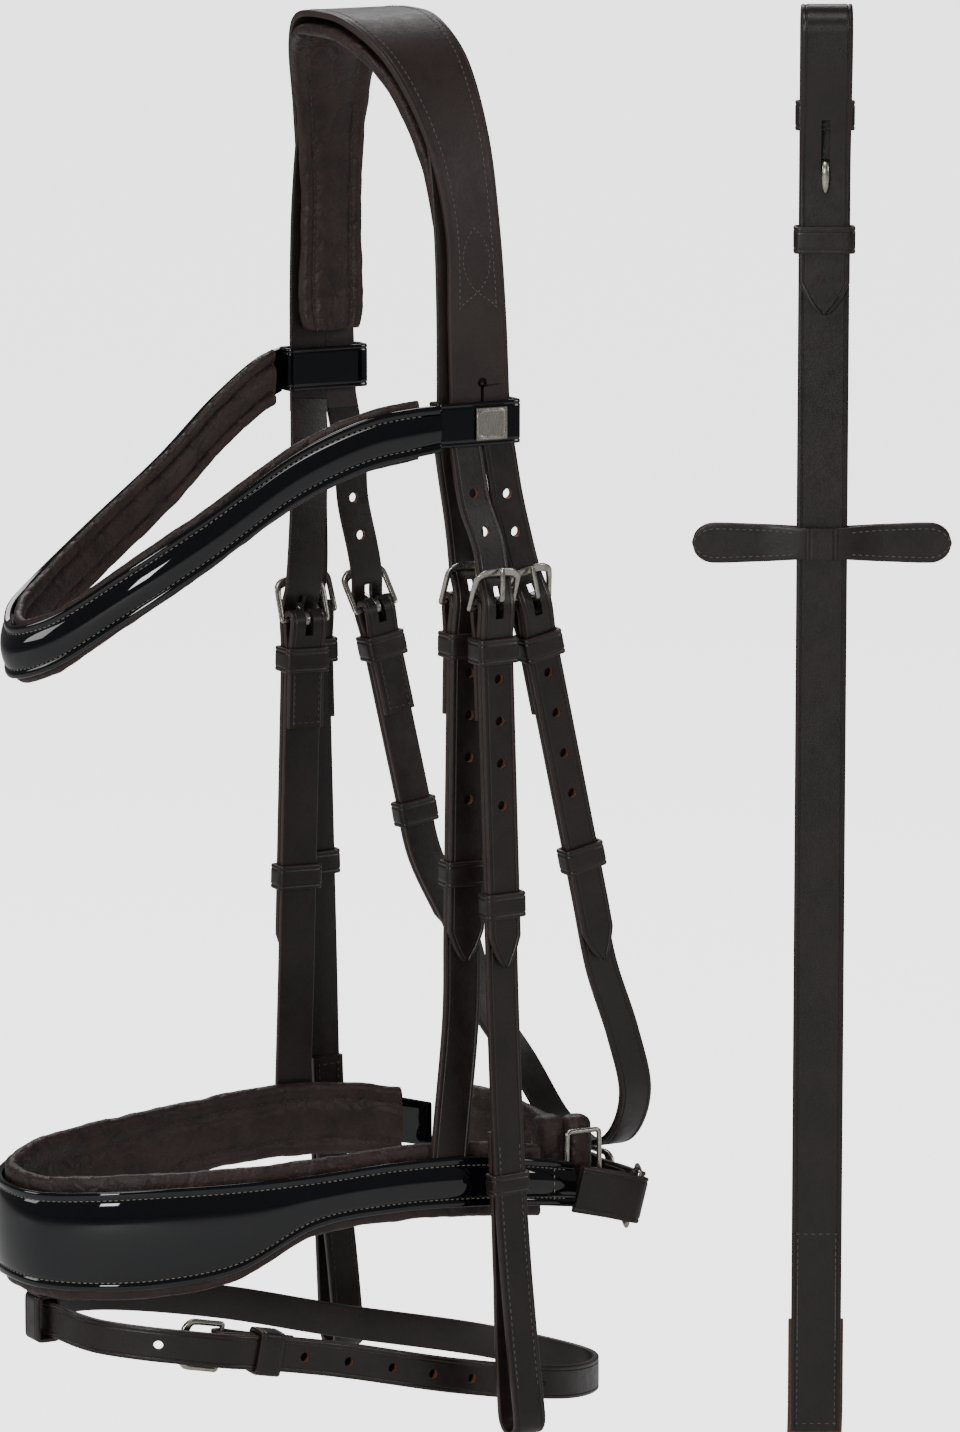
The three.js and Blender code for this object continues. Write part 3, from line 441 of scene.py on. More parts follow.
def closed_band(points: Pairs, across: Array, width: float | Array, smooth: int = 2) -> Band:
    """A band round a closed outline, whose corners are cut smooth times."""
    loop = np.asarray(points, float)
    widths = np.broadcast_to(np.asarray(width, float), (len(loop),))[:, None]
    rows = np.concatenate([loop, widths], 1)
    for _ in range(smooth):
        ahead = np.roll(rows, -1, axis=0)
        rows = np.stack([0.75 * rows + 0.25 * ahead, 0.25 * rows + 0.75 * ahead], 1).reshape(-1, rows.shape[1])
    loop, widths = rows[:, :3], rows[:, 3]
    if across.ndim == 1 and np.allclose(across, (0, 0, 0)):
        tangent = np.gradient(np.concatenate([loop[-1:], loop, loop[:1]]), axis=0)[1:-1]
        return Band(loop, unit(np.cross((0, 0, 1), tangent)), widths)
    return Band(loop, np.tile(across, (len(loop), 1)), widths)


def keeper_draft(width: float, low: float, high: float, height: float, wall: float = KEEPER_WALL) -> Draft:
    """A creased leather loop round straps that are width wide and lie between two lifts."""
    x = width / 2 + CLEARANCE + wall / 2
    top, foot, r = high + wall / 2, low - wall / 2, 1.5
    corners = [(-x + r, top), (0, top), (x - r, top), (x - 0.3, top - 0.3), (x, top - r), (x, foot + r)]
    corners += [(x - 0.3, foot + 0.3), (x - r, foot), (0, foot), (-x + r, foot), (-x + 0.3, foot + 0.3)]
    corners += [(-x, foot + r), (-x, top - r), (-x + 0.3, top - 0.3)]
    band = closed_band([(a, 0, b) for a, b in corners], np.array((0.0, 1, 0)), height)
    return sweep(band, flat_section(wall, 1.6, 0.22), closed=True)


def frame_draft(strap_width: float, lean: float = FRAME_LEAN) -> Draft:
    """A buckle: a round bar at its foot, flat sides and a wider arched top, leaning outwards."""
    x = strap_width / 2 + FRAME_SIDE_ROOM + FRAME_WALL / 2
    outline = [(-x + 1, 0, 2.0), (0, 0, 2.0), (x - 1, 0, 2.0), (x, 0.2, 2.4), (x, 2, 2.3), (x, 6, 2.3), (x, 10, 2.4)]
    outline += [(x - 0.3, 12.4, 2.7), (x - 2.6, 13.9, 3.3), (x / 2, 14.35, 3.5), (0, 14.55, 3.6)]
    outline += [(-a, b, w) for a, b, w in outline[-2:-9:-1]][0:7]
    rows = np.array(outline)
    points = np.stack([rows[:, 0], rows[:, 1], rows[:, 1] * 0], 1)
    draft = sweep(closed_band(points, np.zeros(3), rows[:, 2]), round_section(2.0), closed=True)
    draft.points[:, 2] += draft.points[:, 1] * lean
    return draft


def tongue_draft(rise: float = TONGUE_RISE) -> Draft:
    """A tongue: its collar round the bar, and its prong, which lies at the height rise."""
    turns = np.radians(np.arange(0, 360, 20))
    ring = np.stack([turns * 0, 2.55 * np.cos(turns), 2.55 * np.sin(turns)], 1)
    collar = sweep(closed_band(ring, np.array((1.0, 0, 0)), 2.4, 0), flat_section(1.0, 0), closed=True)
    knee = min(rise, 2.0) * 0.6 + 1.1
    line = catmull_rom(np.array([(0, 0.2, 2.5), (0, 2.4, knee + 0.6), (0, 4.6, rise + 0.5), (0, 8, rise + 0.95),
                                 (0, 12.5, rise + 1.05), (0, 16.7, rise + 0.85)]), np.linspace(0, 1, 40))
    widths = 2.4 - 0.5 * np.linspace(0, 1, 40)
    widths[-4:] *= (0.97, 0.88, 0.7, 0.4)
    prong = Band(line, np.tile((1.0, 0, 0), (40, 1)), widths)
    return collar + sweep(prong, round_section(1.75, 4))


def cylinder_draft(radius: float, length: float, sides: int = 20) -> Draft:
    """A cylinder along z, about the origin."""
    turns = np.linspace(0, 2 * math.pi, sides, endpoint=False)
    ring = np.stack([radius * np.cos(turns), radius * np.sin(turns)], 1)
    ends = [np.concatenate([ring, np.full((sides, 1), z)], 1) for z in (-length / 2, length / 2)]
    faces = [(i, (i + 1) % sides, sides + (i + 1) % sides, sides + i) for i in range(sides)]
    faces += [tuple(range(sides))[::-1], tuple(range(sides, 2 * sides))]
    points = np.concatenate(ends)
    return Draft(points, faces, np.zeros(len(points)), np.zeros((len(points), 2)))


def box_draft(size: Sequence[float]) -> Draft:
    """A box about the origin."""
    signs = np.array([(x, y, z) for x in (-1, 1) for y in (-1, 1) for z in (-1, 1)], float)
    faces = [(0, 1, 3, 2), (4, 6, 7, 5), (0, 4, 5, 1), (2, 3, 7, 6), (0, 2, 6, 4), (1, 5, 7, 3)]
    return Draft(signs * np.array(size) / 2, faces, np.zeros(8), np.zeros((8, 2)))


def at_point(x: float, y: float, z: float, turn: Matrix | None = None) -> Array:
    """A 4x4 matrix with a turn, placed at a point."""
    matrix = np.eye(4)
    if turn is not None:
        matrix[:3, :3] = np.array(turn)[:3, :3]
    matrix[:3, 3] = (x, y, z)
    return matrix


def frame_of(x: Sequence[float], y: Sequence[float], z: Sequence[float], place: Sequence[float]) -> Array:
    """A 4x4 matrix from its three directions and its place."""
    matrix = np.eye(4)
    matrix[:3, 0], matrix[:3, 1], matrix[:3, 2], matrix[:3, 3] = x, y, z, place
    return matrix


# ------------------------------------------------------------------ finishes


class NodeBoard:
    """Adds shader or geometry nodes to a tree, with their inputs and links in one call."""

    def __init__(self, tree: bpy.types.NodeTree) -> None:
        """Works on one tree."""
        self.tree = tree

    def add(self, kind: str, inputs: dict | None = None, **settings: object) -> bpy.types.Node:
        """Makes a node.

        Args:
            kind: the node's type name.
            inputs: values, or sockets to link from, by input name or number.
            settings: the node's own settings.

        Returns:
            The node.
        """
        node = self.tree.nodes.new(kind)
        for name, value in settings.items():
            setattr(node, name, value)
        self.feed(node, inputs or {})
        return node

    def feed(self, node: bpy.types.Node, inputs: dict) -> None:
        """Sets a node's inputs, or links them where the value is a socket."""
        for key, value in inputs.items():
            if isinstance(value, bpy.types.NodeSocket):
                self.tree.links.new(value, node.inputs[key])
            else:
                node.inputs[key].default_value = value

    def place(self) -> bpy.types.NodeSocket:
        """The surface's place in the object's own space."""
        return self.add("ShaderNodeTexCoord").outputs["Object"]

    def bump(self, height: object, strength: float, distance: float) -> bpy.types.NodeSocket:
        """A normal bumped by a height, with its depth in metres."""
        inputs = {"Height": height, "Strength": strength, "Distance": distance}
        return self.add("ShaderNodeBump", inputs).outputs[0]

    def wear(self) -> bpy.types.NodeSocket:
        """The shared group's mask of worn edges and of painted highlights along creases."""
        return self.add("ShaderNodeGroup", node_tree=shared("wear", wear_and_highlight_group)).outputs["Mask"]

    def math(self, operation: str, *values: object) -> bpy.types.NodeSocket:
        """A Math node's result."""
        return self.add("ShaderNodeMath", dict(enumerate(values)), operation=operation).outputs[0]

    def noise(self, vector: object, scale: float, detail: float = 3, rough: float = 0.5) -> bpy.types.NodeSocket:
        """A noise value."""
        node = self.add("ShaderNodeTexNoise", {"Vector": vector, "Scale": scale, "Detail": detail, "Roughness": rough})
        return node.outputs["Fac"]

    def ranged(self, value: object, *limits: float) -> bpy.types.NodeSocket:
        """A value carried from one range to another."""
        return self.add("ShaderNodeMapRange", dict(enumerate((value, *limits)))).outputs[0]

    def mixed(self, factor: object, a: object, b: Sequence[float]) -> bpy.types.NodeSocket:
        """A mix of a colour or a socket with a second colour."""
        first = a if isinstance(a, bpy.types.NodeSocket) else (*a, 1)
        return self.add("ShaderNodeMix", {0: factor, 6: first, 7: (*b, 1)}, data_type="RGBA").outputs[2]


def node_group(name: str, kind: str, inputs: Sequence[tuple[str, str, object]],
               outputs: Sequence[tuple[str, str]]) -> tuple[bpy.types.NodeTree, NodeBoard, dict, bpy.types.Node]:
    """An empty node group with named sockets.

    Args:
        name: the group's name.
        kind: ShaderNodeTree or GeometryNodeTree.
        inputs: name, socket type and starting value of each input.
        outputs: name and socket type of each output.

    Returns:
        The tree, a board on it, its input sockets by name and its output node.
    """
    tree = bpy.data.node_groups.new(name, kind)
    for label, socket_type, value in inputs:
        socket = tree.interface.new_socket(name=label, in_out="INPUT", socket_type=socket_type)
        if value is not None:
            socket.default_value = value
    for label, socket_type in outputs:
        tree.interface.new_socket(name=label, in_out="OUTPUT", socket_type=socket_type)
    board = NodeBoard(tree)
    source = board.add("NodeGroupInput")
    sockets = {socket.name: socket for socket in source.outputs if socket.name}
    return tree, board, sockets, board.add("NodeGroupOutput")


def hide_group() -> bpy.types.NodeTree:
    """Leather's surface: pores, fine grain and slow changes of tone."""
    inputs = [("Pores", "NodeSocketFloat", 1500.0), ("Grain", "NodeSocketFloat", 500.0),
              ("Clouds", "NodeSocketFloat", 40.0), ("Wrinkles", "NodeSocketFloat", 0.0)]
    outputs = [("Height", "NodeSocketFloat"), ("Tone", "NodeSocketFloat"), ("Rub", "NodeSocketFloat")]
    tree, board, given, result = node_group("Hide", "ShaderNodeTree", inputs, outputs)
    place = board.place()
    pores = board.add("ShaderNodeTexVoronoi", {"Vector": place, "Scale": given["Pores"]}, feature="SMOOTH_F1")
    grain = board.noise(place, given["Grain"], 5, 0.6)
    clouds = board.noise(place, given["Clouds"], 4, 0.55)
    folds = board.add("ShaderNodeTexVoronoi", {"Vector": place, "Scale": given["Clouds"]},
                      feature="DISTANCE_TO_EDGE")
    fold = board.math("MULTIPLY", board.ranged(folds.outputs["Distance"], 0.0, 0.16, 0.0, 1.0), given["Wrinkles"])
    bumps = board.math("MULTIPLY", pores.outputs["Distance"], 0.5)
    height = board.math("ADD", bumps, board.math("MULTIPLY", grain, 0.9))
    board.feed(result, {"Height": board.math("ADD", height, fold), "Tone": clouds,
                        "Rub": board.noise(place, 180.0, 4, 0.7)})
    return tree


def wear_and_highlight_group() -> bpy.types.NodeTree:
    """Wear along edges and painted highlights along creases: the mask made with the mesh, broken up."""
    inputs = [("Reach", "NodeSocketFloat", 0.4), ("Break", "NodeSocketFloat", 0.5)]
    tree, board, given, result = node_group("Edge wear", "ShaderNodeTree", inputs, [("Mask", "NodeSocketFloat")])
    edge = board.add("ShaderNodeAttribute", attribute_name="edge").outputs["Fac"]
    place = board.place()
    broken = board.math("MULTIPLY", board.noise(place, 260.0, 4, 0.65), given["Break"])
    mask = board.math("SUBTRACT", edge, board.math("ADD", given["Reach"], broken))
    board.feed(result, {"Mask": board.ranged(mask, 0.0, 0.35, 0.0, 1.0)})
    return tree


GROUPS: dict[str, bpy.types.NodeTree] = {}


def shared(name: str, maker: Callable[[], bpy.types.NodeTree]) -> bpy.types.NodeTree:
    """A shader group, made once."""
    if name not in GROUPS:
        GROUPS[name] = maker()
    return GROUPS[name]


Colour = tuple[float, float, float]


@dataclass(frozen=True)
class Finish:
    """A surface finish, and the record's slot it belongs to."""

    name: str
    slot: str
    base: Colour
    rough: float

    def start(self) -> tuple[bpy.types.Material, NodeBoard, bpy.types.Node]:
        """A new material with its Principled shader."""
        material = bpy.data.materials.new(self.name)
        material.use_nodes = True
        board = NodeBoard(material.node_tree)
        shader = material.node_tree.nodes["Principled BSDF"]
        board.feed(shader, {"Base Color": (*self.base, 1), "Roughness": self.rough})
        return material, board, shader

    def make(self) -> bpy.types.Material:
        """Builds the material."""
        return self.start()[0]


@dataclass(frozen=True)
class Hide(Finish):
    """Dyed leather: grain, tone, worn edges, painted highlights along creases, and a wax or lacquer coat."""

    light: Colour = (0.07, 0.045, 0.038)
    worn_and_highlight: Colour = (0.11, 0.06, 0.045)
    pores: float = 1500.0
    grain: float = 420.0
    clouds: float = 34.0
    wrinkles: float = 0.0
    depth: float = 0.00012
    strength: float = 0.5
    shine: float = 0.4
    coat: float = 0.0
    coat_rough: float = 0.05

    def make(self) -> bpy.types.Material:
        """Builds the leather."""
        material, board, shader = self.start()
        sizes = {"Pores": self.pores, "Grain": self.grain, "Clouds": self.clouds, "Wrinkles": self.wrinkles}
        hide = board.add("ShaderNodeGroup", node_tree=shared("hide", hide_group))
        board.feed(hide, sizes)
        wear = board.wear()
        dyed = board.mixed(board.ranged(hide.outputs["Tone"], 0.35, 0.68, 0.0, 1.0), self.base, self.light)
        rubbed = board.ranged(hide.outputs["Rub"], 0.3, 0.7, self.rough - 0.07, self.rough + 0.09)
        # the worn colour goes on worn edges and, as a painted highlight, along creases
        board.feed(shader, {
            "Base Color": board.mixed(board.math("MULTIPLY", wear, 0.55), dyed, self.worn_and_highlight),
            "Roughness": board.math("ADD", rubbed, board.math("MULTIPLY", wear, 0.08)),
            "Normal": board.bump(hide.outputs["Height"], self.strength, self.depth),
            "Specular IOR Level": self.shine, "Coat Weight": self.coat, "Coat Roughness": self.coat_rough})
        return material


@dataclass(frozen=True)
class Metal(Finish):
    """Antiqued nickel: fine scratches, tarnish in patches and brighter rubbed edges."""

    dark: Colour = (0.22, 0.205, 0.18)

    def make(self) -> bpy.types.Material:
        """Builds the metal."""
        material, board, shader = self.start()
        place = board.place()
        stretched = board.add("ShaderNodeMapping", {"Vector": place, "Scale": (1, 1, 0.12)}).outputs[0]
        scratches = board.noise(stretched, 2600.0, 3, 0.6)
        tarnish = board.ranged(board.noise(place, 240.0, 5, 0.65), 0.42, 0.7, 0.0, 0.75)
        kept = board.math("SUBTRACT", tarnish, board.math("MULTIPLY", board.wear(), 0.25))
        rubbed = board.ranged(scratches, 0.3, 0.7, self.rough - 0.06, self.rough + 0.08)
        board.feed(shader, {
            "Base Color": board.mixed(kept, self.base, self.dark),
            "Roughness": board.math("ADD", rubbed, board.math("MULTIPLY", tarnish, 0.12)),
            "Normal": board.bump(scratches, 0.18, 0.00003), "Metallic": 1.0})
        return material


@dataclass(frozen=True)
class Woven(Finish):
    """Webbing or thread: a weave that follows the piece's own map, in millimetres."""

    light: Colour = (0.2, 0.1, 0.07)
    pitch: float = 1.3

    def make(self) -> bpy.types.Material:
        """Builds the cloth."""
        material, board, shader = self.start()
        marks = board.add("ShaderNodeUVMap", uv_map="UVMap").outputs[0]
        parts = board.add("ShaderNodeSeparateXYZ", {0: marks})
        turn = 2 * math.pi / self.pitch
        across = board.math("SINE", board.math("MULTIPLY", parts.outputs[0], turn))
        down = board.math("SINE", board.math("MULTIPLY", parts.outputs[1], turn))
        weave = board.ranged(board.math("MULTIPLY", across, down), -1.0, 1.0, 0.0, 1.0)
        place = board.place()
        fluff = board.noise(place, 900.0, 4, 0.7)
        height = board.math("ADD", weave, board.math("MULTIPLY", fluff, 0.5))
        board.feed(shader, {
            "Base Color": board.mixed(board.math("MULTIPLY", weave, fluff), self.base, self.light),
            "Normal": board.bump(height, 0.7, 0.0003), "Sheen Weight": 0.3})
        return material


@dataclass(frozen=True)
class Thread(Finish):
    """Waxed sewing thread: a plain twist that catches the light."""

    def make(self) -> bpy.types.Material:
        """Builds the thread."""
        material, board, shader = self.start()
        place = board.place()
        soiled = board.ranged(board.noise(place, 300.0, 3), 0.35, 0.7, 0.0, 0.55)
        dirt = tuple(0.42 * c for c in self.base)
        board.feed(shader, {"Base Color": board.mixed(soiled, self.base, dirt),
                            "Normal": board.bump(board.noise(place, 4000.0, 2), 0.5, 0.00008)})
        return material


class Finishes(Enum):
    """The bridle's finishes."""

    STRAP = Hide("Bridle leather", "leather", (0.0085, 0.0055, 0.005), 0.36, light=(0.015, 0.0095, 0.0085),
                 worn_and_highlight=(0.05, 0.03, 0.024))
    CROWN = Hide("Crown leather", "leather", (0.016, 0.0095, 0.0085), 0.5, light=(0.026, 0.0155, 0.0135),
                 worn_and_highlight=(0.04, 0.023, 0.018), depth=0.0002)
    LINING = Hide("Soft lining leather", "lining", (0.017, 0.0088, 0.0078), 0.5, light=(0.034, 0.018, 0.0155),
                  worn_and_highlight=(0.05, 0.028, 0.024), pores=900.0, grain=260.0, clouds=90.0, wrinkles=0.9, depth=0.0005,
                  strength=0.7, shine=0.35)
    PATENT = Hide("Patent leather", "patent", (0.0012, 0.0014, 0.0024), 0.35, light=(0.002, 0.0023, 0.004),
                  worn_and_highlight=(0.006, 0.005, 0.005), depth=0.00006, strength=0.3, shine=0.0, coat=1.0, coat_rough=0.035)
    METAL = Metal("Antiqued nickel", "steel", (0.42, 0.395, 0.355), 0.24)
    WEB = Woven("Rein webbing", "webbing", (0.085, 0.03, 0.017), 0.85, light=(0.2, 0.085, 0.048))
    RAW = Hide("Raw leather inside holes", "leather", (0.16, 0.06, 0.035), 0.7, light=(0.22, 0.09, 0.05))
    PALE_THREAD = Thread("Pale thread", "leather", (0.17, 0.155, 0.13), 0.6)
    GREY_THREAD = Thread("Grey thread", "leather", (0.085, 0.072, 0.063), 0.6)
    DARK_THREAD = Thread("Dark thread", "leather", (0.045, 0.032, 0.027), 0.6)


# ------------------------------------------------------------------ the workshop

WORDS = {Finishes.PATENT: "patent", Finishes.METAL: "metal", Finishes.WEB: "web"}
SHARP_ANGLE = 38.0
SHARP_ANGLES = {Finishes.METAL: 60.0, Finishes.LINING: 80.0}


@dataclass
class SeamRow:
    """A row of stitches: its points and the outward direction at each."""

    points: Array
    out: Array


class Workshop:
    """Makes Blender meshes from drafts, cuts and sews them, and fixes them to the frame's bodies."""

    def __init__(self) -> None:
        """Starts with no finishes made and nothing sewn."""
        self.materials: dict[Finishes, bpy.types.Material] = {}
        self.seams: dict[tuple[str, Finishes, float], list[SeamRow]] = defaultdict(list)
        self.holes: dict[str, list[SeamRow]] = defaultdict(list)

    def material(self, finish: Finishes) -> bpy.types.Material:
        """The material of a finish, made once."""
        if finish not in self.materials:
            self.materials[finish] = finish.value.make()
        return self.materials[finish]

    def mesh(self, name: str, draft: Draft) -> bpy.types.Object:
        """A mesh object from a draft, in metres, with its edge mask and its map."""
        data = bpy.data.meshes.new(name)
        data.from_pydata((draft.points * MM).tolist(), [], draft.faces)
        mask = data.attributes.new("edge", "FLOAT", "POINT")
        mask.data.foreach_set("value", draft.edge.astype(np.float32))
        layer = data.uv_layers.new(name="UVMap")
        corners = np.zeros(len(data.loops), np.int32)
        data.loops.foreach_get("vertex_index", corners)
        layer.data.foreach_set("uv", draft.uv[corners].astype(np.float32).ravel())
        made = bpy.data.objects.new(name, data)
        bpy.context.scene.collection.objects.link(made)
        return made

    def smooth(self, piece: bpy.types.Object, angle: float) -> None:
        """Shades a piece smoothly except over sharp edges."""
        piece.data.polygons.foreach_set("use_smooth", [True] * len(piece.data.polygons))
        piece.data.set_sharp_from_angle(angle=math.radians(angle))
        piece.data.update()

    def baked(self, piece: bpy.types.Object) -> None:
        """Turns a piece's modifiers into its mesh."""
        graph = bpy.context.evaluated_depsgraph_get()
        data = bpy.data.meshes.new_from_object(piece.evaluated_get(graph), preserve_all_data_layers=True,
                                               depsgraph=graph)
        piece.modifiers.clear()
        piece.data = data

    def cut(self, piece: bpy.types.Object, cutters: Sequence[Draft]) -> None:
        """Cuts shapes out of a piece."""
        if not cutters:
            return
        merged = cutters[0]
        for cutter in cutters[1:]:
            merged = merged + cutter
        tool = self.mesh("cutter", merged)
        modifier = piece.modifiers.new("Cut", "BOOLEAN")
        modifier.operation, modifier.object, modifier.solver = "DIFFERENCE", tool, "MANIFOLD"
        self.baked(piece)
        bpy.data.objects.remove(tool)

    def fix(self, name: str, draft: Draft, finish: Finishes, body: str | tuple, nodes: Sequence[str] = (),
            cutters: Sequence[Draft] = (), angle: float = SHARP_ANGLE,
            shape: Callable[[bpy.types.Object], None] | None = None) -> bpy.types.Object:
        """Makes a finished piece and fixes it to its body, when it is given a single one.

        Args:
            name: the piece's name.
            draft: its mesh.
            finish: its finish.
            body: the body it rides on, or (body, body, start, end) in millimetres, in which case it rides on neither
                and its place is baked into its mesh.
            nodes: the frame's nodes it stands for.
            cutters: shapes cut out of it.
            angle: the angle above which an edge stays sharp, in degrees.
            shape: a last change to the mesh before it is fixed.

        Returns:
            The piece.
        """
        piece = self.mesh(name, draft)
        self.cut(piece, cutters)
        if shape:
            shape(piece)
        self.smooth(piece, angle)
        piece.data.materials.clear()
        piece.data.materials.append(self.material(finish))
        if isinstance(body, str):
            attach(piece, body)
        else:
            body[0]
            body[1]
            [c * MM for c in body[2]]
            [c * MM for c in body[3]]
            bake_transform(piece)
        if nodes:
            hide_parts(*nodes)
        LOG.info("%s: %d faces on %s", name, len(piece.data.polygons), body)
        return piece

    def stand_in(self, node: str, draft: Draft, finish: Finishes, body: str | tuple, cutters: Sequence[Draft] = (),
                 shape: Callable[[bpy.types.Object], None] | None = None) -> bpy.types.Object:
        """Fixes the piece that stands for one node, named after it and its material."""
        name = f"{node}_{WORDS.get(finish, 'leather')}"
        return self.fix(name, draft, finish, body, [node], cutters, SHARP_ANGLES.get(finish, SHARP_ANGLE), shape)

    def sew(self, body: str, thread: Finishes, points: Array, out: Array, pitch: float = 2.6) -> None:
        """Adds a row of stitches to a body."""
        self.seams[(body, thread, pitch)].append(SeamRow(points, out))

    def sew_band(self, body: str, thread: Finishes, band: Band, height: float, inset: float,
                 span: tuple[float, float], pitch: float) -> None:
        """Sews along a band, inside its edges.

        Args:
            body: the body it rides on.
            thread: the thread.
            band: the band sewn.
            height: the height of the stitches over its middle.
            inset: how far in from each edge.
            span: the distances between which it is sewn.
            pitch: the stitch length with its gap.
        """
        gone, out = band.gone, band.out
        rows = (gone >= span[0]) & (gone <= span[1])
        for side in (-1, 1):
            shift = side * (band.width / 2 - inset)
            points = band.point + band.across * shift[:, None] + out * height
            self.sew(body, thread, points[rows], out[rows] * np.sign(height or 1), pitch)

    def pierce(self, body: str, route: Route, places: Sequence[tuple[float, float]]) -> list[Draft]:
        """Cutters for holes along a route, whose raw insides are lined later.

        Args:
            body: the body the holes ride on.
            route: the strap's line.
            places: distance and lift of each hole.

        Returns:
            The cutters.
        """
        cutters = []
        for distance, lift in places:
            matrix = route.frame(distance, lift)
            cutters.append(cylinder_draft(HOLE_RADIUS, 3 * LEATHER).placed(matrix))
            self.holes[body].append(SeamRow(matrix[:3, 3][None], matrix[:3, 2][None]))
        return cutters

    def draw_seams(self) -> None:
        """Sews every row, one piece for each body, thread and pitch."""
        order = sorted(self.seams.items(), key=lambda item: (item[0][0], item[0][1].name))
        for count, ((body, thread, pitch), rows) in enumerate(order):
            settings = {"Pitch": pitch * MM, "Length": 0.74 * pitch * MM, "Thickness": 0.5 * MM}
            self.grow(f"{body}_stitches_{count}", rows, shared("stitches", stitch_tree), settings, thread, body)

    def line_holes(self) -> None:
        """Lines every hole with its raw inside."""
        for body, rows in sorted(self.holes.items()):
            settings = {"Radius": (HOLE_RADIUS - 0.03) * MM, "Depth": (LEATHER - 0.5) * MM}
            self.grow(f"{body}_hole_insides", rows, shared("holes", hole_tree), settings, Finishes.RAW, body)

    def grow(self, name: str, rows: Sequence[SeamRow], tree: bpy.types.NodeTree, settings: dict[str, float],
             finish: Finishes, body: str) -> None:
        """Makes one piece from rows of points with a geometry node tree.

        Args:
            name: the piece's name.
            rows: the rows of points.
            tree: the tree that builds on them.
            settings: its sizes by name.
            finish: the finish.
            body: the body it rides on.
        """
        data = bpy.data.meshes.new(name)
        points = np.concatenate([row.points for row in rows]) * MM
        edges, start = [], 0
        for row in rows:
            edges += [(i, i + 1) for i in range(start, start + len(row.points) - 1)]
            start += len(row.points)
        data.from_pydata(points.tolist(), edges, [])
        outward = data.attributes.new("out", "FLOAT_VECTOR", "POINT")
        outward.data.foreach_set("vector", np.concatenate([row.out for row in rows]).astype(np.float32).ravel())
        piece = bpy.data.objects.new(name, data)
        bpy.context.scene.collection.objects.link(piece)
        modifier = piece.modifiers.new("Rows", "NODES")
        modifier.node_group = tree
        for item in tree.interface.items_tree:
            if item.in_out == "INPUT" and item.name in settings:
                modifier[item.identifier] = settings[item.name]
            if item.in_out == "INPUT" and item.name == "Material":
                modifier[item.identifier] = self.material(finish)
        self.baked(piece)
        piece.data.polygons.foreach_set("use_smooth", [True] * len(piece.data.polygons))
        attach(piece, body)
        LOG.info("%s: %d faces", name, len(piece.data.polygons))


def row_tree(name: str, sizes: Sequence[tuple[str, float]]) -> tuple:
    """The start of a tree that builds on rows of points: its tree, board, inputs and output."""
    inputs = [("Geometry", "NodeSocketGeometry", None)]
    inputs += [(label, "NodeSocketFloat", value) for label, value in sizes]
    inputs += [("Material", "NodeSocketMaterial", None)]
    return node_group(name, "GeometryNodeTree", inputs, [("Geometry", "NodeSocketGeometry")])


def outward_input(board: NodeBoard) -> bpy.types.NodeSocket:
    """The outward direction stored on each point."""
    return board.add("GeometryNodeInputNamedAttribute", {"Name": "out"}, data_type="FLOAT_VECTOR").outputs[0]


def set_on_points(board: NodeBoard, given: dict, result: bpy.types.Node, points: object, shape: bpy.types.Node,
                  turn: bpy.types.Node) -> None:
    """The end of such a tree: a turned shape on each point, made real and given its material."""
    source = points.outputs[0] if isinstance(points, bpy.types.Node) else points
    placed = board.add("GeometryNodeInstanceOnPoints", {"Points": source, "Instance": shape.outputs[0],
                                                        "Rotation": turn.outputs[0]})
    real = board.add("GeometryNodeRealizeInstances", {"Geometry": placed.outputs[0]})
    dressed = board.add("GeometryNodeSetMaterial", {"Geometry": real.outputs[0], "Material": given["Material"]})
    board.feed(result, {0: dressed.outputs[0]})


def stitch_tree() -> bpy.types.NodeTree:
    """Stitches lying along rows of points, each standing on the surface's outward direction."""
    sizes = [("Pitch", 0.0026), ("Length", 0.002), ("Thickness", 0.0006)]
    tree, board, given, result = row_tree("Stitches", sizes)
    line = board.add("GeometryNodeMeshToCurve", {"Mesh": given["Geometry"]}).outputs[0]
    spaced = board.add("GeometryNodeResampleCurve", {"Curve": line}, mode="LENGTH")
    tree.links.new(given["Pitch"], next(s for s in spaced.inputs if s.name == "Length"))
    size = board.add("ShaderNodeCombineXYZ", {0: given["Length"], 1: given["Thickness"], 2: given["Thickness"]})
    ball = board.add("GeometryNodeMeshUVSphere", {"Segments": 8, "Rings": 5, "Radius": 0.5})
    stitch = board.add("GeometryNodeTransform", {"Geometry": ball.outputs[0], "Rotation": (0, 0, 0.16)})
    lying = board.add("GeometryNodeTransform", {"Geometry": stitch.outputs[0], "Scale": size.outputs[0]})
    tangent = board.add("GeometryNodeInputTangent").outputs[0]
    turn = board.add("FunctionNodeAxesToRotation", {0: outward_input(board), 1: tangent}, primary_axis="Z",
                     secondary_axis="X")
    set_on_points(board, given, result, spaced, lying, turn)
    return tree


def hole_tree() -> bpy.types.NodeTree:
    """A short open tube standing in each hole."""
    tree, board, given, result = row_tree("Hole insides", [("Radius", 0.0018), ("Depth", 0.002)])
    tube = board.add("GeometryNodeMeshCylinder", {"Vertices": 20, "Radius": given["Radius"],
                                                  "Depth": given["Depth"]}, fill_type="NONE")
    inside = board.add("GeometryNodeFlipFaces", {"Mesh": tube.outputs[0]})
    turn = board.add("FunctionNodeAlignRotationToVector", {"Vector": outward_input(board)}, axis="Z")
    set_on_points(board, given, result, given["Geometry"], inside, turn)
    return tree


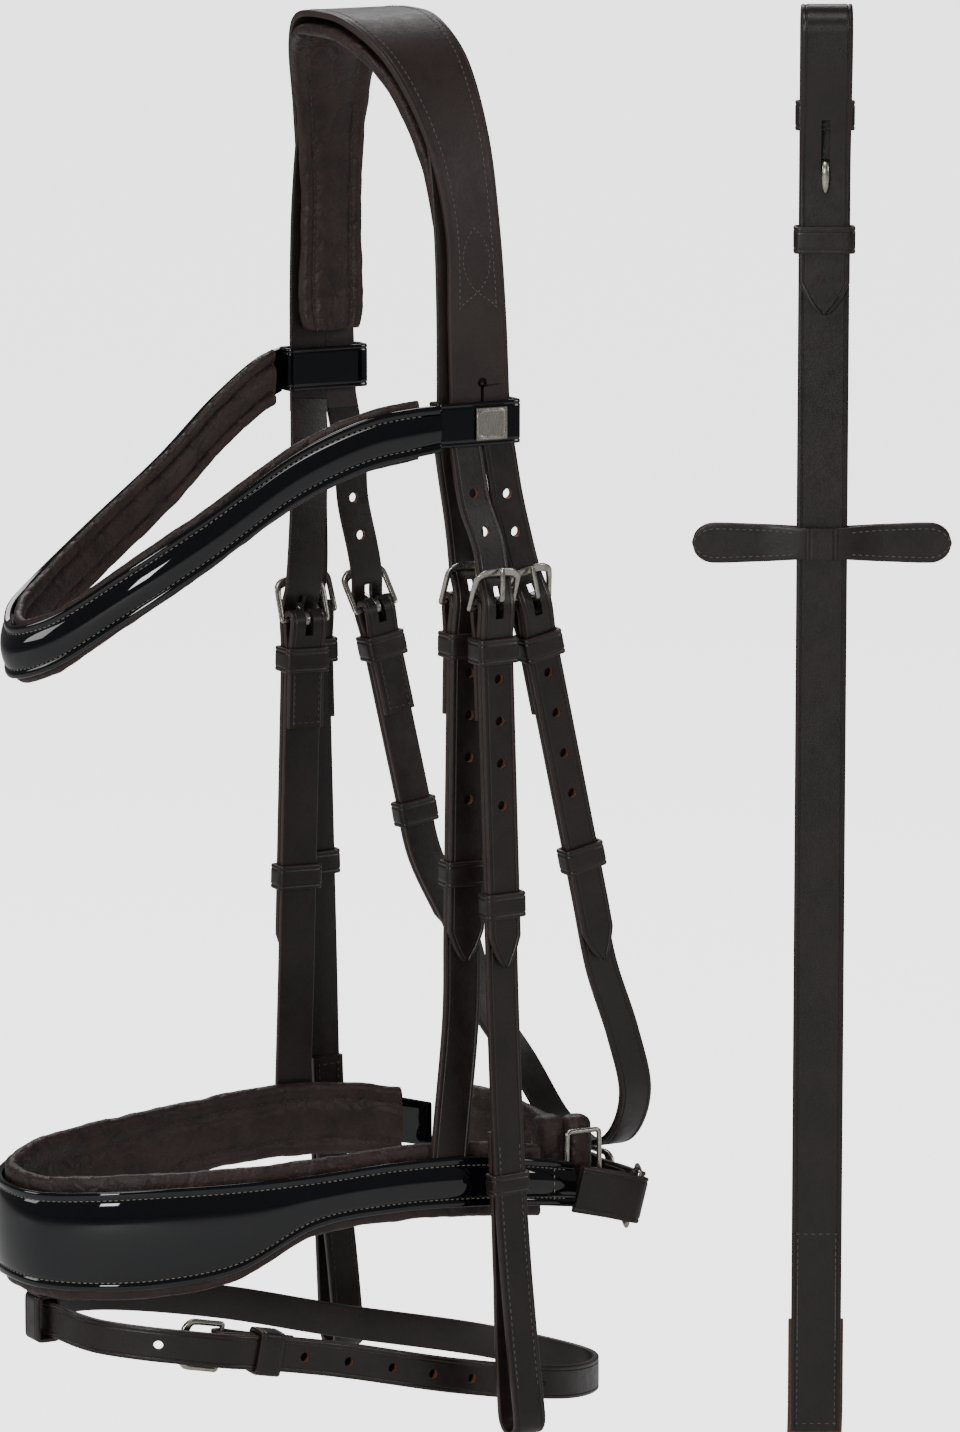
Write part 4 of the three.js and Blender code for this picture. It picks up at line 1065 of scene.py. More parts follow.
def soften(piece: bpy.types.Object, amount: float, size: float, seed: float = 0.0) -> None:
    """Moves a soft piece's points a little along their normals, as hand-worked leather does.

    Args:
        piece: the piece.
        amount: the largest move, in millimetres.
        size: the width of a bump, in millimetres.
        seed: shifts the pattern.
    """
    data = piece.data
    places = [v.co.copy() for v in data.vertices]
    normals = [v.normal.copy() for v in data.vertices]
    shift = Vector((seed, seed * 1.7, seed * 0.6))
    for vertex, place, normal in zip(data.vertices, places, normals):
        wave = noise.noise(place / (size * MM) + shift) + 0.45 * noise.noise(place / (0.42 * size * MM) - shift)
        vertex.co = place + normal * (wave * amount * MM)
    data.update()


# ------------------------------------------------------------------ the bridle's pieces


@dataclass
class Crown:
    """The headpiece over the poll, the sliphead under it, and their soft padding."""

    rows: Pairs = ((0, 8.4, -29, 12), (22, 6.2, -29, 10.5), (42, -6, -23, 11), (57, -33, -14.5, 12),
                   (64, -66, -9.5, 13), (66.3, -100, -9.5, 14.5), (66.5, -125, -9, 15.5), (66.5, -149.8, -8.5, 16.5))
    off_shift: float = 3.5
    steps: int = 264
    split_top: float = -124.0
    split_width: float = 1.2
    split_length: float = 41.0
    split_depth: float = 2.0
    relief_hole: float = 1.9
    sliphead_y: float = -3.8
    sliphead_sway: float = -1.8
    padding_lift: float = -6.3
    padding_thickness: float = 5.4
    padding_overhang: float = 3.0
    padding_span: tuple[float, float] = (6 / 44, 40 / 44)
    rest_half: float = 17.0
    seam: float = 4.3
    motif_span: tuple[float, float] = (-95.5, -67)
    motif_cross: float = -90.5
    motif_reach: float = 5.6
    body: str = "crown"

    def shift(self, row: Sequence[float], side: int) -> float:
        """How far a row is moved back on the off side."""
        return self.off_shift * min(row[0] / 60, 1) if side < 0 else 0.0

    def band(self) -> Band:
        """The headpiece's middle surface."""
        def edge(column: int) -> list[Sequence[float]]:
            return mirrored(self.rows, lambda row, side: (side * row[0], row[column] + self.shift(row, side), row[1]))
        return between(edge(3), edge(2), self.steps)

    def build(self, shop: Workshop) -> None:
        """Makes the headpiece, sliphead and padding."""
        band = self.band()
        last = self.rows[-1]
        cutters = []
        for side in (1, -1):
            middle = (last[2] + last[3]) / 2 + self.shift(last, side)
            x = side * last[0]
            face = x + side * LEATHER / 2
            slit = box_draft((2 * self.split_depth, self.split_width, self.split_length))
            cutters.append(slit.placed(at_point(face, middle, self.split_top - self.split_length / 2)))
            turn = Matrix.Rotation(math.pi / 2, 3, "Y")
            hole = cylinder_draft(self.relief_hole, 2 * self.split_depth, 28)
            cutters.append(hole.placed(at_point(face, middle, self.split_top, turn)))
        shop.stand_in("headpiece", sweep(band, flat_section(LEATHER, 1.5, 0.2)), Finishes.CROWN, self.body, cutters)
        face = LEATHER / 2
        near_end, off_end = self.sewn_span(band)
        shop.sew_band(self.body, Finishes.GREY_THREAD, band, face, self.seam, (near_end, off_end), 2.4)
        self.motif(shop, band)

        under = band.shifted(SLIPHEAD_LIFT)
        under.point[:, 1] = self.sliphead_y + self.sliphead_sway * under.point[:, 0] / last[0]
        under.width = np.full(len(under.width), HANGER_WIDTH)
        shop.stand_in("sliphead", sweep(under, flat_section(SLIPHEAD_THICKNESS, 0)), Finishes.STRAP, self.body)

        padded = band.shifted(self.padding_lift, self.padding_overhang).part(*self.padding_span)
        gone = padded.gone
        ends = np.minimum(1, np.minimum(gone, gone[-1] - gone) / 9 + 0.12) ** 0.5
        padded.width = padded.width * (0.75 + 0.25 * ends)
        piece = shop.stand_in("headpiece_padding",
                              sweep(padded, rolled_section(self.padding_thickness - 0.6, 0.4, 0.5)), Finishes.LINING,
                              self.body, shape=self.rest_flat)
        for side in (-1, 1):
            shift = side * padded.width * 0.3
            points = padded.point + padded.across * shift[:, None] - padded.out * (self.padding_thickness / 2 - 1.5)
            shop.sew(self.body, Finishes.DARK_THREAD, points, -padded.out, 3.2)

    def rest_flat(self, piece: bpy.types.Object) -> None:
        """Wrinkles the padding and presses it flat where it rests on the poll."""
        soften(piece, 0.42, 9.0, 3.0)
        for vertex in piece.data.vertices:
            if abs(vertex.co.x) < self.rest_half * MM:
                vertex.co.z = max(vertex.co.z, 0.0)

    def sewn_span(self, band: Band) -> tuple[float, float]:
        """The distances between which the headpiece's edges are sewn."""
        sewn = band.gone[band.point[:, 2] > self.motif_span[0]]
        return float(sewn[0]), float(sewn[-1])

    def motif(self, shop: Workshop, band: Band) -> None:
        """Sews the almond shape on each side, whose lines cross and run out to the edge rows."""
        heights, out = band.point[:, 2], band.out
        low, top = self.motif_span
        for side in (1, -1):
            rows = (band.point[:, 0] * side > 20) & (heights > low - 0.8) & (heights < top)
            z = heights[rows]
            above = np.clip((z - self.motif_cross) / (top - self.motif_cross), 0, 1)
            below = np.clip((self.motif_cross - z) / (self.motif_cross - low), 0, 1)
            edge = band.width[rows] / 2 - self.seam
            reach = self.motif_reach * np.sin(above * math.pi) ** 0.75 - edge * below
            for swing in (1, -1):
                points = band.point[rows] + band.across[rows] * (swing * reach)[:, None] + out[rows] * (LEATHER / 2)
                shop.sew(self.body, Finishes.GREY_THREAD, points, out[rows], 2.0)


@dataclass
class Browband:
    """The wave-shaped browband: padded patent on a soft lining, with a loop at each end."""

    rows: Pairs = (
        (69.3, -14.8, -140, 17.5), (67.6, -25, -141.2, 18.5), (64, -42, -144.5, 19), (58, -68, -156, 19.5),
        (50, -101, -178.8, 20), (38, -130, -199.2, 20), (20, -150, -216.5, 20), (0, -157, -222.5, 20),
        (-20, -149, -218.5, 20), (-38, -130, -211, 20), (-50, -101, -193.5, 19.5), (-58, -68, -171.5, 19),
        (-64, -42, -151, 18.5), (-67.5, -21, -137.4, 18), (-69.3, -11.3, -134.2, 17))
    thickness: float = 4.0
    lining_extra: float = 4.0
    loops: tuple = ((1, 2.0, -139.0), (-1, 5.5, -133.5))
    loop_x: float = 66.5
    loop_room: float = 30.4
    loop_height: float = 16.5
    loop_wall: float = 2.0
    plate_y: float = 6.0
    plate: tuple[float, float, float] = (13, 12, 1.4)
    body: str = "crown"

    def build(self, shop: Workshop) -> None:
        """Makes the band, its lining, its loops and the metal plate on the near loop."""
        top, foot = ([(x, y, z + part * height) for x, y, z, height in self.rows] for part in (0.5, -0.5))
        band = between(top, foot, 300)
        front = sweep(band, crowned_section(self.thickness - 1.2, 3.3, 1.5))
        for side, y, z in self.loops:
            low = SLIPHEAD_LIFT - SLIPHEAD_THICKNESS / 2 - 2 * CLEARANCE
            loop = keeper_draft(self.loop_room, low, LEATHER / 2 + 2 * CLEARANCE, self.loop_height, self.loop_wall)
            front = front + loop.placed(frame_of((0, side, 0), (0, 0, 1), (side, 0, 0), (side * self.loop_x, y, z)))
        shop.stand_in("browband", front, Finishes.PATENT, self.body)
        height = self.thickness / 2 - 0.95
        shop.sew_band(self.body, Finishes.PALE_THREAD, band, height, 3.3, (8, band.gone[-1] - 8), 2.2)
        inner = band.shifted(-self.thickness - CLEARANCE, self.lining_extra).part(2 / 40, 38 / 40)
        piece = shop.stand_in("browband_lining", sweep(inner, rolled_section(self.thickness, 0.5, 0.4)),
                              Finishes.LINING, self.body, shape=lambda made: soften(made, 0.3, 7.0, 11.0))
        self.metal_plate(shop)

    def metal_plate(self, shop: Workshop) -> None:
        """The plain square plate, with a raised rim."""
        middle = self.loops[0][2]
        width, height, thick = self.plate
        front = self.loop_x + LEATHER / 2 + 3 * CLEARANCE + self.loop_wall + thick / 2
        face = frame_of((0, 1, 0), (0, 0, 1), (1, 0, 0), (front, self.plate_y, middle))
        draft = self.tile(width, height, thick - 0.35)
        a, b = width / 2 - 0.9, height / 2 - 0.9
        corners = [(-a, -b, 0), (0, -b, 0), (a, -b, 0), (a, 0, 0), (a, b, 0), (0, b, 0), (-a, b, 0), (-a, 0, 0)]
        rim = closed_band(corners, np.zeros(3), 1.3, 2)
        rim.point[:, 2] = thick / 2 - 0.5
        draft = draft + sweep(rim, round_section(0.8, 3), closed=True)
        shop.fix("browband_plate_metal", draft.placed(face), Finishes.METAL, self.body, ["browband_plate"])

    def tile(self, width: float, height: float, thick: float) -> Draft:
        """A flat tile with softened edges, its faces along z."""
        line = np.linspace((0, -height / 2, 0), (0, height / 2, 0), 9)
        band = Band(line, np.tile((-1.0, 0, 0), (9, 1)), np.full(9, width))
        return sweep(band, flat_section(thick, 0))


@dataclass
class Side:
    """One side of the bridle: how much lower it is buckled, and where its straps lie."""

    name: str
    sign: int
    drop: float
    hanger_y: tuple[float, float, float]
    keepers: dict[str, float]
    throat_reach: float = BILLET_REACH
    crown_shift: float = 0.0

    def route(self, points: Sequence[Sequence[float]]) -> Route:
        """A route on this side, from points given for the near side."""
        turned = np.array(points, float) * (self.sign, 1, 1)
        return Route(turned, (0, self.sign, 0))

    def cheek_route(self) -> Route:
        """The cheekpiece's line."""
        shift = self.crown_shift
        return self.route([(67.5, -2.5 + shift, BILLET_TOP), (69.5, -0.5 + shift, -168),
                           *straight((72.7, 3.9, -186), (74, 8.8, -365), 7),
                           (75.5, 11, -430), (77.5, 14.5, -485), (80, 17.5, -525)])

    def hanger_route(self) -> Route:
        """The noseband hanger's line."""
        high, low, foot = self.hanger_y
        start = -3.8 - 1.8 * self.sign
        bend = [(58.5, (start + high) / 2, -180)] if self.drop else []
        return self.route([(63.3, start, BILLET_TOP - 0.2), *bend,
                           *straight((56, high, -186 - self.drop), (56.5, low, -365), 7), (59.5, foot, -411)])

    def throat_route(self) -> Route:
        """The throatlatch's line, down to its middle."""
        shift = self.crown_shift
        if self.sign > 0:
            knee, foot = (65, 55.5, -349), [(60, 68, -378), (50, 79, -404), (30, 83.5, -425)]
        else:
            knee, foot = (57, 46, -326), [(52, 58.5, -356), (46, 66, -386), (36, 78, -409), (20, 83, -427)]
        return self.route([(67.5, 11.3 + shift, BILLET_TOP), (67.3, 14.5 + shift, -168),
                           *straight((67, 18.9, -186), knee, 7), *foot, (0, 84.5, -434)])


SIDES = (
    Side("near", 1, 0, (2.8, 0, -6), {"cheek": 112, "hanger": 102, "throat": 100}, throat_reach=141),
    Side("off", -1, 22, (-7, -11, -11), {"cheek": 100, "hanger": 101, "throat": 83}, crown_shift=3.5),
)
HOLES_BELOW = (26, 42, 58, 74)
HOLES_ABOVE = (-44, -29)


@dataclass
class BuckledPair:
    """Everything at one buckle apart from the lower strap: billet, frame, tongue and running keeper."""

    name: str
    route: Route
    bar: float
    width: float
    body: str
    keeper_drop: float
    reach: float = BILLET_REACH
    holes: tuple = HOLES_ABOVE + HOLES_BELOW
    bend: tuple | None = None

    def build(self, shop: Workshop) -> None:
        """Makes the four pieces."""
        billet = along(self.route, billet_path(-BILLET_TUCK, self.bar, self.reach), self.width, pointed=True)
        places = [(self.bar + hole, 0.3 if hole < 0 else BILLET_LIFT) for hole in self.holes]
        slot = box_draft((SLOT_WIDTH, 12, 12)).placed(self.route.frame(self.bar - 3, 5))
        cutters = [slot, *shop.pierce(self.body, self.route, places)]
        shop.stand_in(f"{self.name}_billet", sweep(billet, flat_section(LEATHER)), Finishes.STRAP,
                      self.bend or self.body, cutters)
        self.metal(shop)
        keeper = keeper_draft(self.width, BACK_OF_STRAP - CLEARANCE, FRONT_OF_BILLET + CLEARANCE, KEEPER_HEIGHT)
        shop.stand_in(f"{self.name}_keeper", keeper.placed(self.route.frame(self.bar + self.keeper_drop)),
                      Finishes.STRAP, f"{self.name}_keeper")

    def metal(self, shop: Workshop) -> None:
        """Makes the frame and its tongue."""
        place = self.route.frame(self.bar)
        shop.stand_in(f"{self.name}_buckle", frame_draft(self.width).placed(place), Finishes.METAL, self.body)
        shop.stand_in(f"{self.name}_tongue", tongue_draft().placed(place), Finishes.METAL, f"{self.name}_tongue")


def tongue_slot(route: Route, bar: float) -> Draft:
    """The cutter for the slot a tongue works in."""
    return box_draft((SLOT_WIDTH, 10.6, 12)).placed(route.frame(bar + 0.5, 0.5))


def fixed_keeper(route: Route, bar: float, width: float) -> Draft:
    """The keeper sewn into the fold below a buckle."""
    loop = keeper_draft(width, BACK_OF_FOLD + 0.1, FRONT_OF_BILLET + CLEARANCE, KEEPER_HEIGHT)
    return loop.placed(route.frame(bar + FIXED_KEEPER_DROP))


def sew_leg(shop: Workshop, body: str, route: Route, span: tuple[float, float], lifts: tuple[float, float],
            width: float, side: int = 1, thread: Finishes = Finishes.DARK_THREAD, across: bool = False) -> None:
    """Sews both edges of one ply of a strap, and across its end if asked.

    Args:
        shop: the workshop.
        body: the body it rides on.
        route: the strap's line.
        span: the distances between which it is sewn.
        lifts: the surface's lift at each end.
        width: the strap's width.
        side: 1 for its front and -1 for its back.
        thread: the thread.
        across: whether a row crosses the strap at the end of the span.
    """
    places = np.linspace(*span, max(3, int(abs(span[1] - span[0]) / 2)))
    lift = np.linspace(*lifts, len(places)) + side * 0.05
    point, across_ways, _, out = route.at(places, lift)
    for edge in (-1, 1):
        shop.sew(body, thread, point + across_ways * edge * (width / 2 - SEAM_INSET), out * side, 2.5)
    if across:
        shifts = np.linspace(-1, 1, 7)[:, None] * (width / 2 - SEAM_INSET)
        shop.sew(body, thread, point[-1] + across_ways[-1] * shifts, np.tile(out[-1] * side, (7, 1)), 2.5)


def sew_fold(shop: Workshop, body: str, route: Route, bar: float, width: float) -> None:
    """Sews a buckle end's fold, on its back."""
    sew_leg(shop, body, route, (bar + 12, bar + FOLD_LENGTH - 2), (BACK_OF_FOLD,) * 2, width, -1, across=True)


@dataclass
class Cheek:
    """A cheekpiece, with its bit loop, its buckle and its billet."""

    side: Side
    bit_radius: float = 6.5
    bit_fold: float = 118.0

    def build(self, shop: Workshop) -> None:
        """Makes the strap and the buckled pair."""
        side, body = self.side, f"{self.side.name}_cheek"
        route = side.cheek_route()
        bar, end = route.distance_at(BAR_Z - side.drop), route.length
        path = fold_path(bar, FOLD_LENGTH) + [[end - 60, PLY / 2], [end - 20, 1.9]]
        for angle in np.radians(np.arange(80, -81, -32)):
            path.append([end - self.bit_radius * (1 - math.cos(angle)), self.bit_radius * (math.sin(angle) - 1) + 2])
        path += [[end - 32, -8.2], [end - 60, -4.4], [end - 85, -2.2], [end - self.bit_fold, -PLY / 2]]
        draft = sweep(along(route, path, CHEEK_WIDTH), flat_section(LEATHER))
        shop.stand_in(f"{side.name}_cheekpiece", draft, Finishes.STRAP, body, [tongue_slot(route, bar)])
        small = keeper_draft(CHEEK_WIDTH, -PLY / 2 - 1.2, PLY / 2 + 1.2, 8, 1.3)
        loops = fixed_keeper(route, bar, CHEEK_WIDTH) + small.placed(route.frame(end - 98))
        shop.fix(f"{side.name}_cheek_fixed_keepers_leather", loops, Finishes.STRAP, body)
        sew_fold(shop, body, route, bar, CHEEK_WIDTH)
        half = LEATHER / 2
        front = PLY / 2 + half
        for span, lifts in (((112, 60), (front, front)), ((60, 20), (front, 1.9 + half))):
            sew_leg(shop, body, route, (end - span[0], end - span[1]), lifts, CHEEK_WIDTH, thread=Finishes.GREY_THREAD)
        back = ((34, 8), (60, 4.4), (85, 2.2), (115, PLY / 2))
        for (start, deep), (stop, shallow) in zip(back, back[1:]):
            sew_leg(shop, body, route, (end - start, end - stop), (-deep - half, -shallow - half), CHEEK_WIDTH, -1,
                    across=stop == back[-1][0])
        bend = ("crown", body, (side.sign * 67.5, 0, BILLET_TOP), (side.sign * 67.5, 0, BILLET_TOP - 16))
        BuckledPair(body, route, bar, CHEEK_WIDTH, body, side.keepers["cheek"], bend=bend).build(shop)


@dataclass
class Hanger:
    """A noseband hanger, with its buckle and its billet."""

    side: Side
    tuck: float = 15.0
    body: str = "nose"

    def build(self, shop: Workshop) -> None:
        """Makes the strap and the buckled pair."""
        side, route = self.side, self.side.hanger_route()
        bar = route.distance_at(BAR_Z - side.drop)
        path = fold_path(bar, FOLD_LENGTH) + [[route.length - 8, PLY / 2], [route.length + self.tuck, PLY / 2]]
        draft = sweep(along(route, path, HANGER_WIDTH), flat_section(LEATHER))
        shop.stand_in(f"{side.name}_hanger", draft, Finishes.STRAP, self.body, [tongue_slot(route, bar)])
        shop.fix(f"{side.name}_hanger_fixed_keeper_leather", fixed_keeper(route, bar, HANGER_WIDTH), Finishes.STRAP,
                 self.body)
        sew_fold(shop, self.body, route, bar, HANGER_WIDTH)
        bend = ("crown", self.body, (side.sign * 63, 0, BILLET_TOP - 0.2), (side.sign * 63, 0, BILLET_TOP - 16))
        BuckledPair(f"{side.name}_hanger", route, bar, HANGER_WIDTH, self.body, side.keepers["hanger"],
                    holes=HOLES_BELOW, bend=bend).build(shop)


@dataclass
class Throatlatch:
    """The throatlatch: one strap under the throat, buckled to a billet on each side."""

    body: str = "throat"

    def build(self, shop: Workshop) -> None:
        """Makes the strap and both buckled pairs."""
        halves, slots, keepers = [], [], []
        for side in SIDES:
            route = side.throat_route()
            bar = route.distance_at(BAR_Z - 1 - side.drop * 0.9)
            bend = ("crown", self.body, (0, 13, BILLET_TOP), (0, 13, BILLET_TOP - 16))
            BuckledPair(f"{side.name}_throat", route, bar, CHEEK_WIDTH, self.body, side.keepers["throat"],
                        reach=side.throat_reach, bend=bend).build(shop)
            path = fold_path(bar, FOLD_LENGTH) + [[route.distance_at(-349), PLY / 2], [route.length, PLY / 2]]
            halves.append(along(route, path, CHEEK_WIDTH))
            slots.append(tongue_slot(route, bar))
            keepers.append(fixed_keeper(route, bar, CHEEK_WIDTH))
            sew_fold(shop, self.body, route, bar, CHEEK_WIDTH)
        whole = halves[0].joined(halves[1].reversed().part(1.5 / len(halves[1].width), 1))
        shop.stand_in("throatlatch", sweep(whole, flat_section(LEATHER)), Finishes.STRAP, self.body, slots)
        shop.fix("throatlatch_fixed_keepers_leather", keepers[0] + keepers[1], Finishes.STRAP, self.body)


@dataclass
class Noseband:
    """The noseband: a padded patent front that narrows towards the cheeks, on a thick soft lining."""

    rows: Pairs = (
        (0, -161, -424, -460), (18, -157, -424, -460.7), (34, -143, -422.6, -460.5), (46, -120, -421.4, -459.3),
        (54, -92, -420.8, -454.5), (59.5, -62, -419.5, -440), (62.3, -30, -417.8, -437), (63.3, 0, -418.5, -438),
        (62, 28, -422.5, -441), (58, 48, -427, -444.5))
    thickness: float = 3.4
    lining: float = 6.0
    margin: float = 4.8
    steps: int = 416
    joins: tuple[float, ...] = (37.0,)
    body: str = "nose"

    def band(self) -> Band:
        """The front's middle surface, from its near end to its off end."""
        top, foot = (mirrored(self.rows, lambda row, side: (side * row[0], row[1], row[column])) for column in (2, 3))
        return between(top, foot, self.steps)

    def build(self, shop: Workshop) -> None:
        """Makes the front, its lining and its sewing."""
        band = self.band()
        shop.stand_in("noseband", sweep(band, crowned_section(self.thickness - 0.6, 3.3, 1.3)), Finishes.PATENT,
                      self.body)
        height = (self.thickness - 0.6) / 2 - 0.35
        shop.sew_band(self.body, Finishes.PALE_THREAD, band, height, 3.3, (5, band.gone[-1] - 5), 2.2)
        for y in self.joins:
            for side in (1, -1):
                near = np.where(band.point[:, 0] * side > 30)[0]
                row = near[np.argmin(np.abs(band.point[near, 1] - y))]
                shifts = np.linspace(-1, 1, 12)[:, None] * (band.width[row] / 2 - 3.6)
                points = band.point[row] + band.across[row] * shifts + band.out[row] * (self.thickness / 2 + 1.0)
                shop.sew(self.body, Finishes.PALE_THREAD, points, np.tile(band.out[row], (12, 1)), 2.2)
        inner = band.shifted(-(self.thickness + self.lining) / 2 - CLEARANCE, 2 * self.margin).part(2 / 52, 50 / 52)
        piece = shop.stand_in("noseband_lining", sweep(inner, rolled_section(self.lining - 0.5, 0.45, 0.4)),
                              Finishes.LINING, self.body, shape=lambda made: soften(made, 0.45, 8.5, 21.0))
        for side in (-1, 1):
            shift = side * inner.width * 0.275
            points = inner.point + inner.across * shift[:, None] - inner.out * (self.lining / 2 - 1.6)
            shop.sew(self.body, Finishes.DARK_THREAD, points, -inner.out, 3.2)


def flat_ring(width: float, span: float, bar: float) -> Draft:
    """A rectangular wire ring that stands between two bars that are span apart."""
    x, top, corner = width / 2 + bar / 2, span, 1.4
    outline = []
    for a, b, turn in ((x, 0, -45), (x, top, 45), (-x, top, 135), (-x, 0, 225)):
        centre = np.array((a - math.copysign(corner, a), b + (corner if b == 0 else -corner)))
        for angle in np.radians((turn - 45, turn, turn + 45)):
            outline.append((centre[0] + corner * math.cos(angle), centre[1] + corner * math.sin(angle), 0))
        if a > 0 and b == 0:
            outline += [(x, top * share, 0) for share in (0.3, 0.5, 0.7)]
        elif a > 0:
            outline.append((0, top, 0))
        elif b > 0:
            outline += [(-x, top * share, 0) for share in (0.7, 0.5, 0.3)]
        else:
            outline.append((0, 0, 0))
    return sweep(closed_band(outline, np.zeros(3), bar, 2), round_section(bar, 5), closed=True)


@dataclass
class CrankClosure:
    """The crank closure: a folded tab, a flat ring, and a strap that doubles back to its own buckle."""

    line: Pairs = ((40, 85, -447.2), (20, 89, -449.5), (0, 90, -451), (-25, 87, -450), (-46, 73, -444),
                   (-57.3, 50.8, -438))
    tab_line: Pairs = ((55.5, 76, -445), (56.6, 62, -441), (56.6, 50.4, -438))
    width: float = 18.0
    bar: float = 58.0
    reach: float = 52.0
    fold: float = 28.0
    body: str = "nose"

    def build(self, shop: Workshop) -> None:
        """Makes the tab, ring, doubled billet, buckle, strap and keeper."""
        tab_route = Route(self.tab_line, (0, 0, -1))
        route = Route(self.line, (0, 0.28, 1))
        tab = along(tab_route, [*fold_path(0, 22), [tab_route.length, PLY / 2]], self.width, 1.6)
        shop.stand_in("crank_tab", sweep(tab, flat_section(LEATHER)), Finishes.STRAP, self.body)
        corner = tab_route.frame(0)
        reach = route.frame(0, -PLY / 2)[:3, 3] - corner[:3, 3]
        span = float(np.linalg.norm(reach))
        up = reach / span
        normal = unit(np.cross(corner[:3, 0], up))
        ring = flat_ring(self.width + 2.4, span, 1.8).placed(frame_of(np.cross(up, normal), up, normal, corner[:3, 3]))
        shop.stand_in("crank_ring", ring, Finishes.METAL, self.body)

        wrapped = [[s, n - PLY / 2] for s, n in fold_path(0, self.fold)]
        path = wrapped + billet_path(0, self.bar, self.reach)[1:]
        billet = along(route, path, self.width, 1.6, pointed=True)
        slot = box_draft((SLOT_WIDTH, 12, 12)).placed(route.frame(self.bar - 3, 5))
        cutters = [slot, *shop.pierce(self.body, route, [(self.bar + hole, BILLET_LIFT) for hole in (18, 32)])]
        shop.stand_in("crank_billet", sweep(billet, flat_section(LEATHER)), Finishes.STRAP, self.body, cutters)
        place = route.frame(self.bar)
        shop.stand_in("crank_buckle", frame_draft(self.width).placed(place), Finishes.METAL, self.body)
        shop.stand_in("crank_tongue", tongue_draft().placed(place), Finishes.METAL, "crank_tongue")
        strap = along(route, [*fold_path(self.bar, self.fold), [route.length, PLY / 2]], self.width, 1.6)
        shop.stand_in("crank_strap", sweep(strap, flat_section(LEATHER)), Finishes.STRAP, self.body,
                      [tongue_slot(route, self.bar)])
        keeper = keeper_draft(self.width, BACK_OF_FOLD - 2 * CLEARANCE, FRONT_OF_BILLET + 2 * CLEARANCE, KEEPER_HEIGHT)
        shop.stand_in("crank_keeper", keeper.placed(route.frame(self.bar + FIXED_KEEPER_DROP + 3)), Finishes.STRAP,
                      "crank_keeper")


@dataclass
class ChinPad:
    """The padded chin piece, with the two soft rolls at its near end and its wire ring."""

    line: Pairs = ((44, 57, -429), (38, 62, -432), (22, 67, -436), (0, 69, -438), (-22, 66.5, -436), (-39, 58, -433),
                   (-45.5, 45, -431))
    height: float = 31.0
    thickness: float = 8.0
    rolls: Pairs = ((43.5, 45, -428), (43.5, 57, -429))
    roll_radius: float = 6.3
    ring_centre: tuple[float, float, float] = (51.9, 55, -431)
    ring_inner: tuple[float, float] = (26, 12)
    body: str = "nose"

    def build(self, shop: Workshop) -> None:
        """Makes the pad with its rolls, and the ring."""
        route = Route(self.line, (0, 0, 1))
        band = along(route, [[2, 0], [route.length, 0]], self.height, 2.0)
        draft = sweep(band, rolled_section(self.thickness, 0.5, 0.0))
        for x, y, z in self.rolls:
            draft = draft + self.roll().placed(at_point(x, y, z))
        piece = shop.stand_in("chin_pad", draft, Finishes.LINING, self.body,
                              shape=lambda made: soften(made, 0.35, 8.0, 31.0))
        tall, deep = self.ring_inner
        x, y, z = self.ring_centre
        place = frame_of((0, 0, -1), (0, 1, 0), (1, 0, 0), (x, y - deep / 2, z))
        shop.stand_in("chin_ring", flat_ring(tall, deep + 2, 2.0).placed(place), Finishes.METAL, self.body)

    def roll(self) -> Draft:
        """An upright roll with rounded ends."""
        half = self.height / 2 + 1
        turns = np.radians(np.arange(-90, 91, 15))
        cap = 4.2
        outline = [(self.roll_radius - cap + cap * math.cos(turn),
                    math.copysign(half - cap, turn) + cap * math.sin(turn)) for turn in turns if abs(turn) > 0.01]
        low = [row for row in outline if row[1] < 0]
        high = [row for row in outline if row[1] > 0]
        middle = [(self.roll_radius, share * (half - cap)) for share in (-0.7, -0.4, -0.1, 0.1, 0.4, 0.7)]
        return turned_draft([(0.02, -half), *low, *middle, *high, (0.02, half)], 36)


def turned_draft(profile: Pairs, sides: int) -> Draft:
    """A closed shape turned about z, from (radius, height) pairs that run from its foot to its top."""
    rows = np.array(profile)
    turns = np.linspace(0, 2 * math.pi, sides, endpoint=False)
    rings = [np.stack([r * np.cos(turns), r * np.sin(turns), np.full(sides, z)], 1) for r, z in rows]
    faces = []
    for i in range(len(rows) - 1):
        for k in range(sides):
            a, b = i * sides + k, i * sides + (k + 1) % sides
            faces.append((a, b, b + sides, a + sides))
    faces += [tuple(range(sides))[::-1], tuple(range((len(rows) - 1) * sides, len(rows) * sides))]
    points = np.concatenate(rings)
    return Draft(points, faces, np.zeros(len(points)), points[:, :2]).outward()


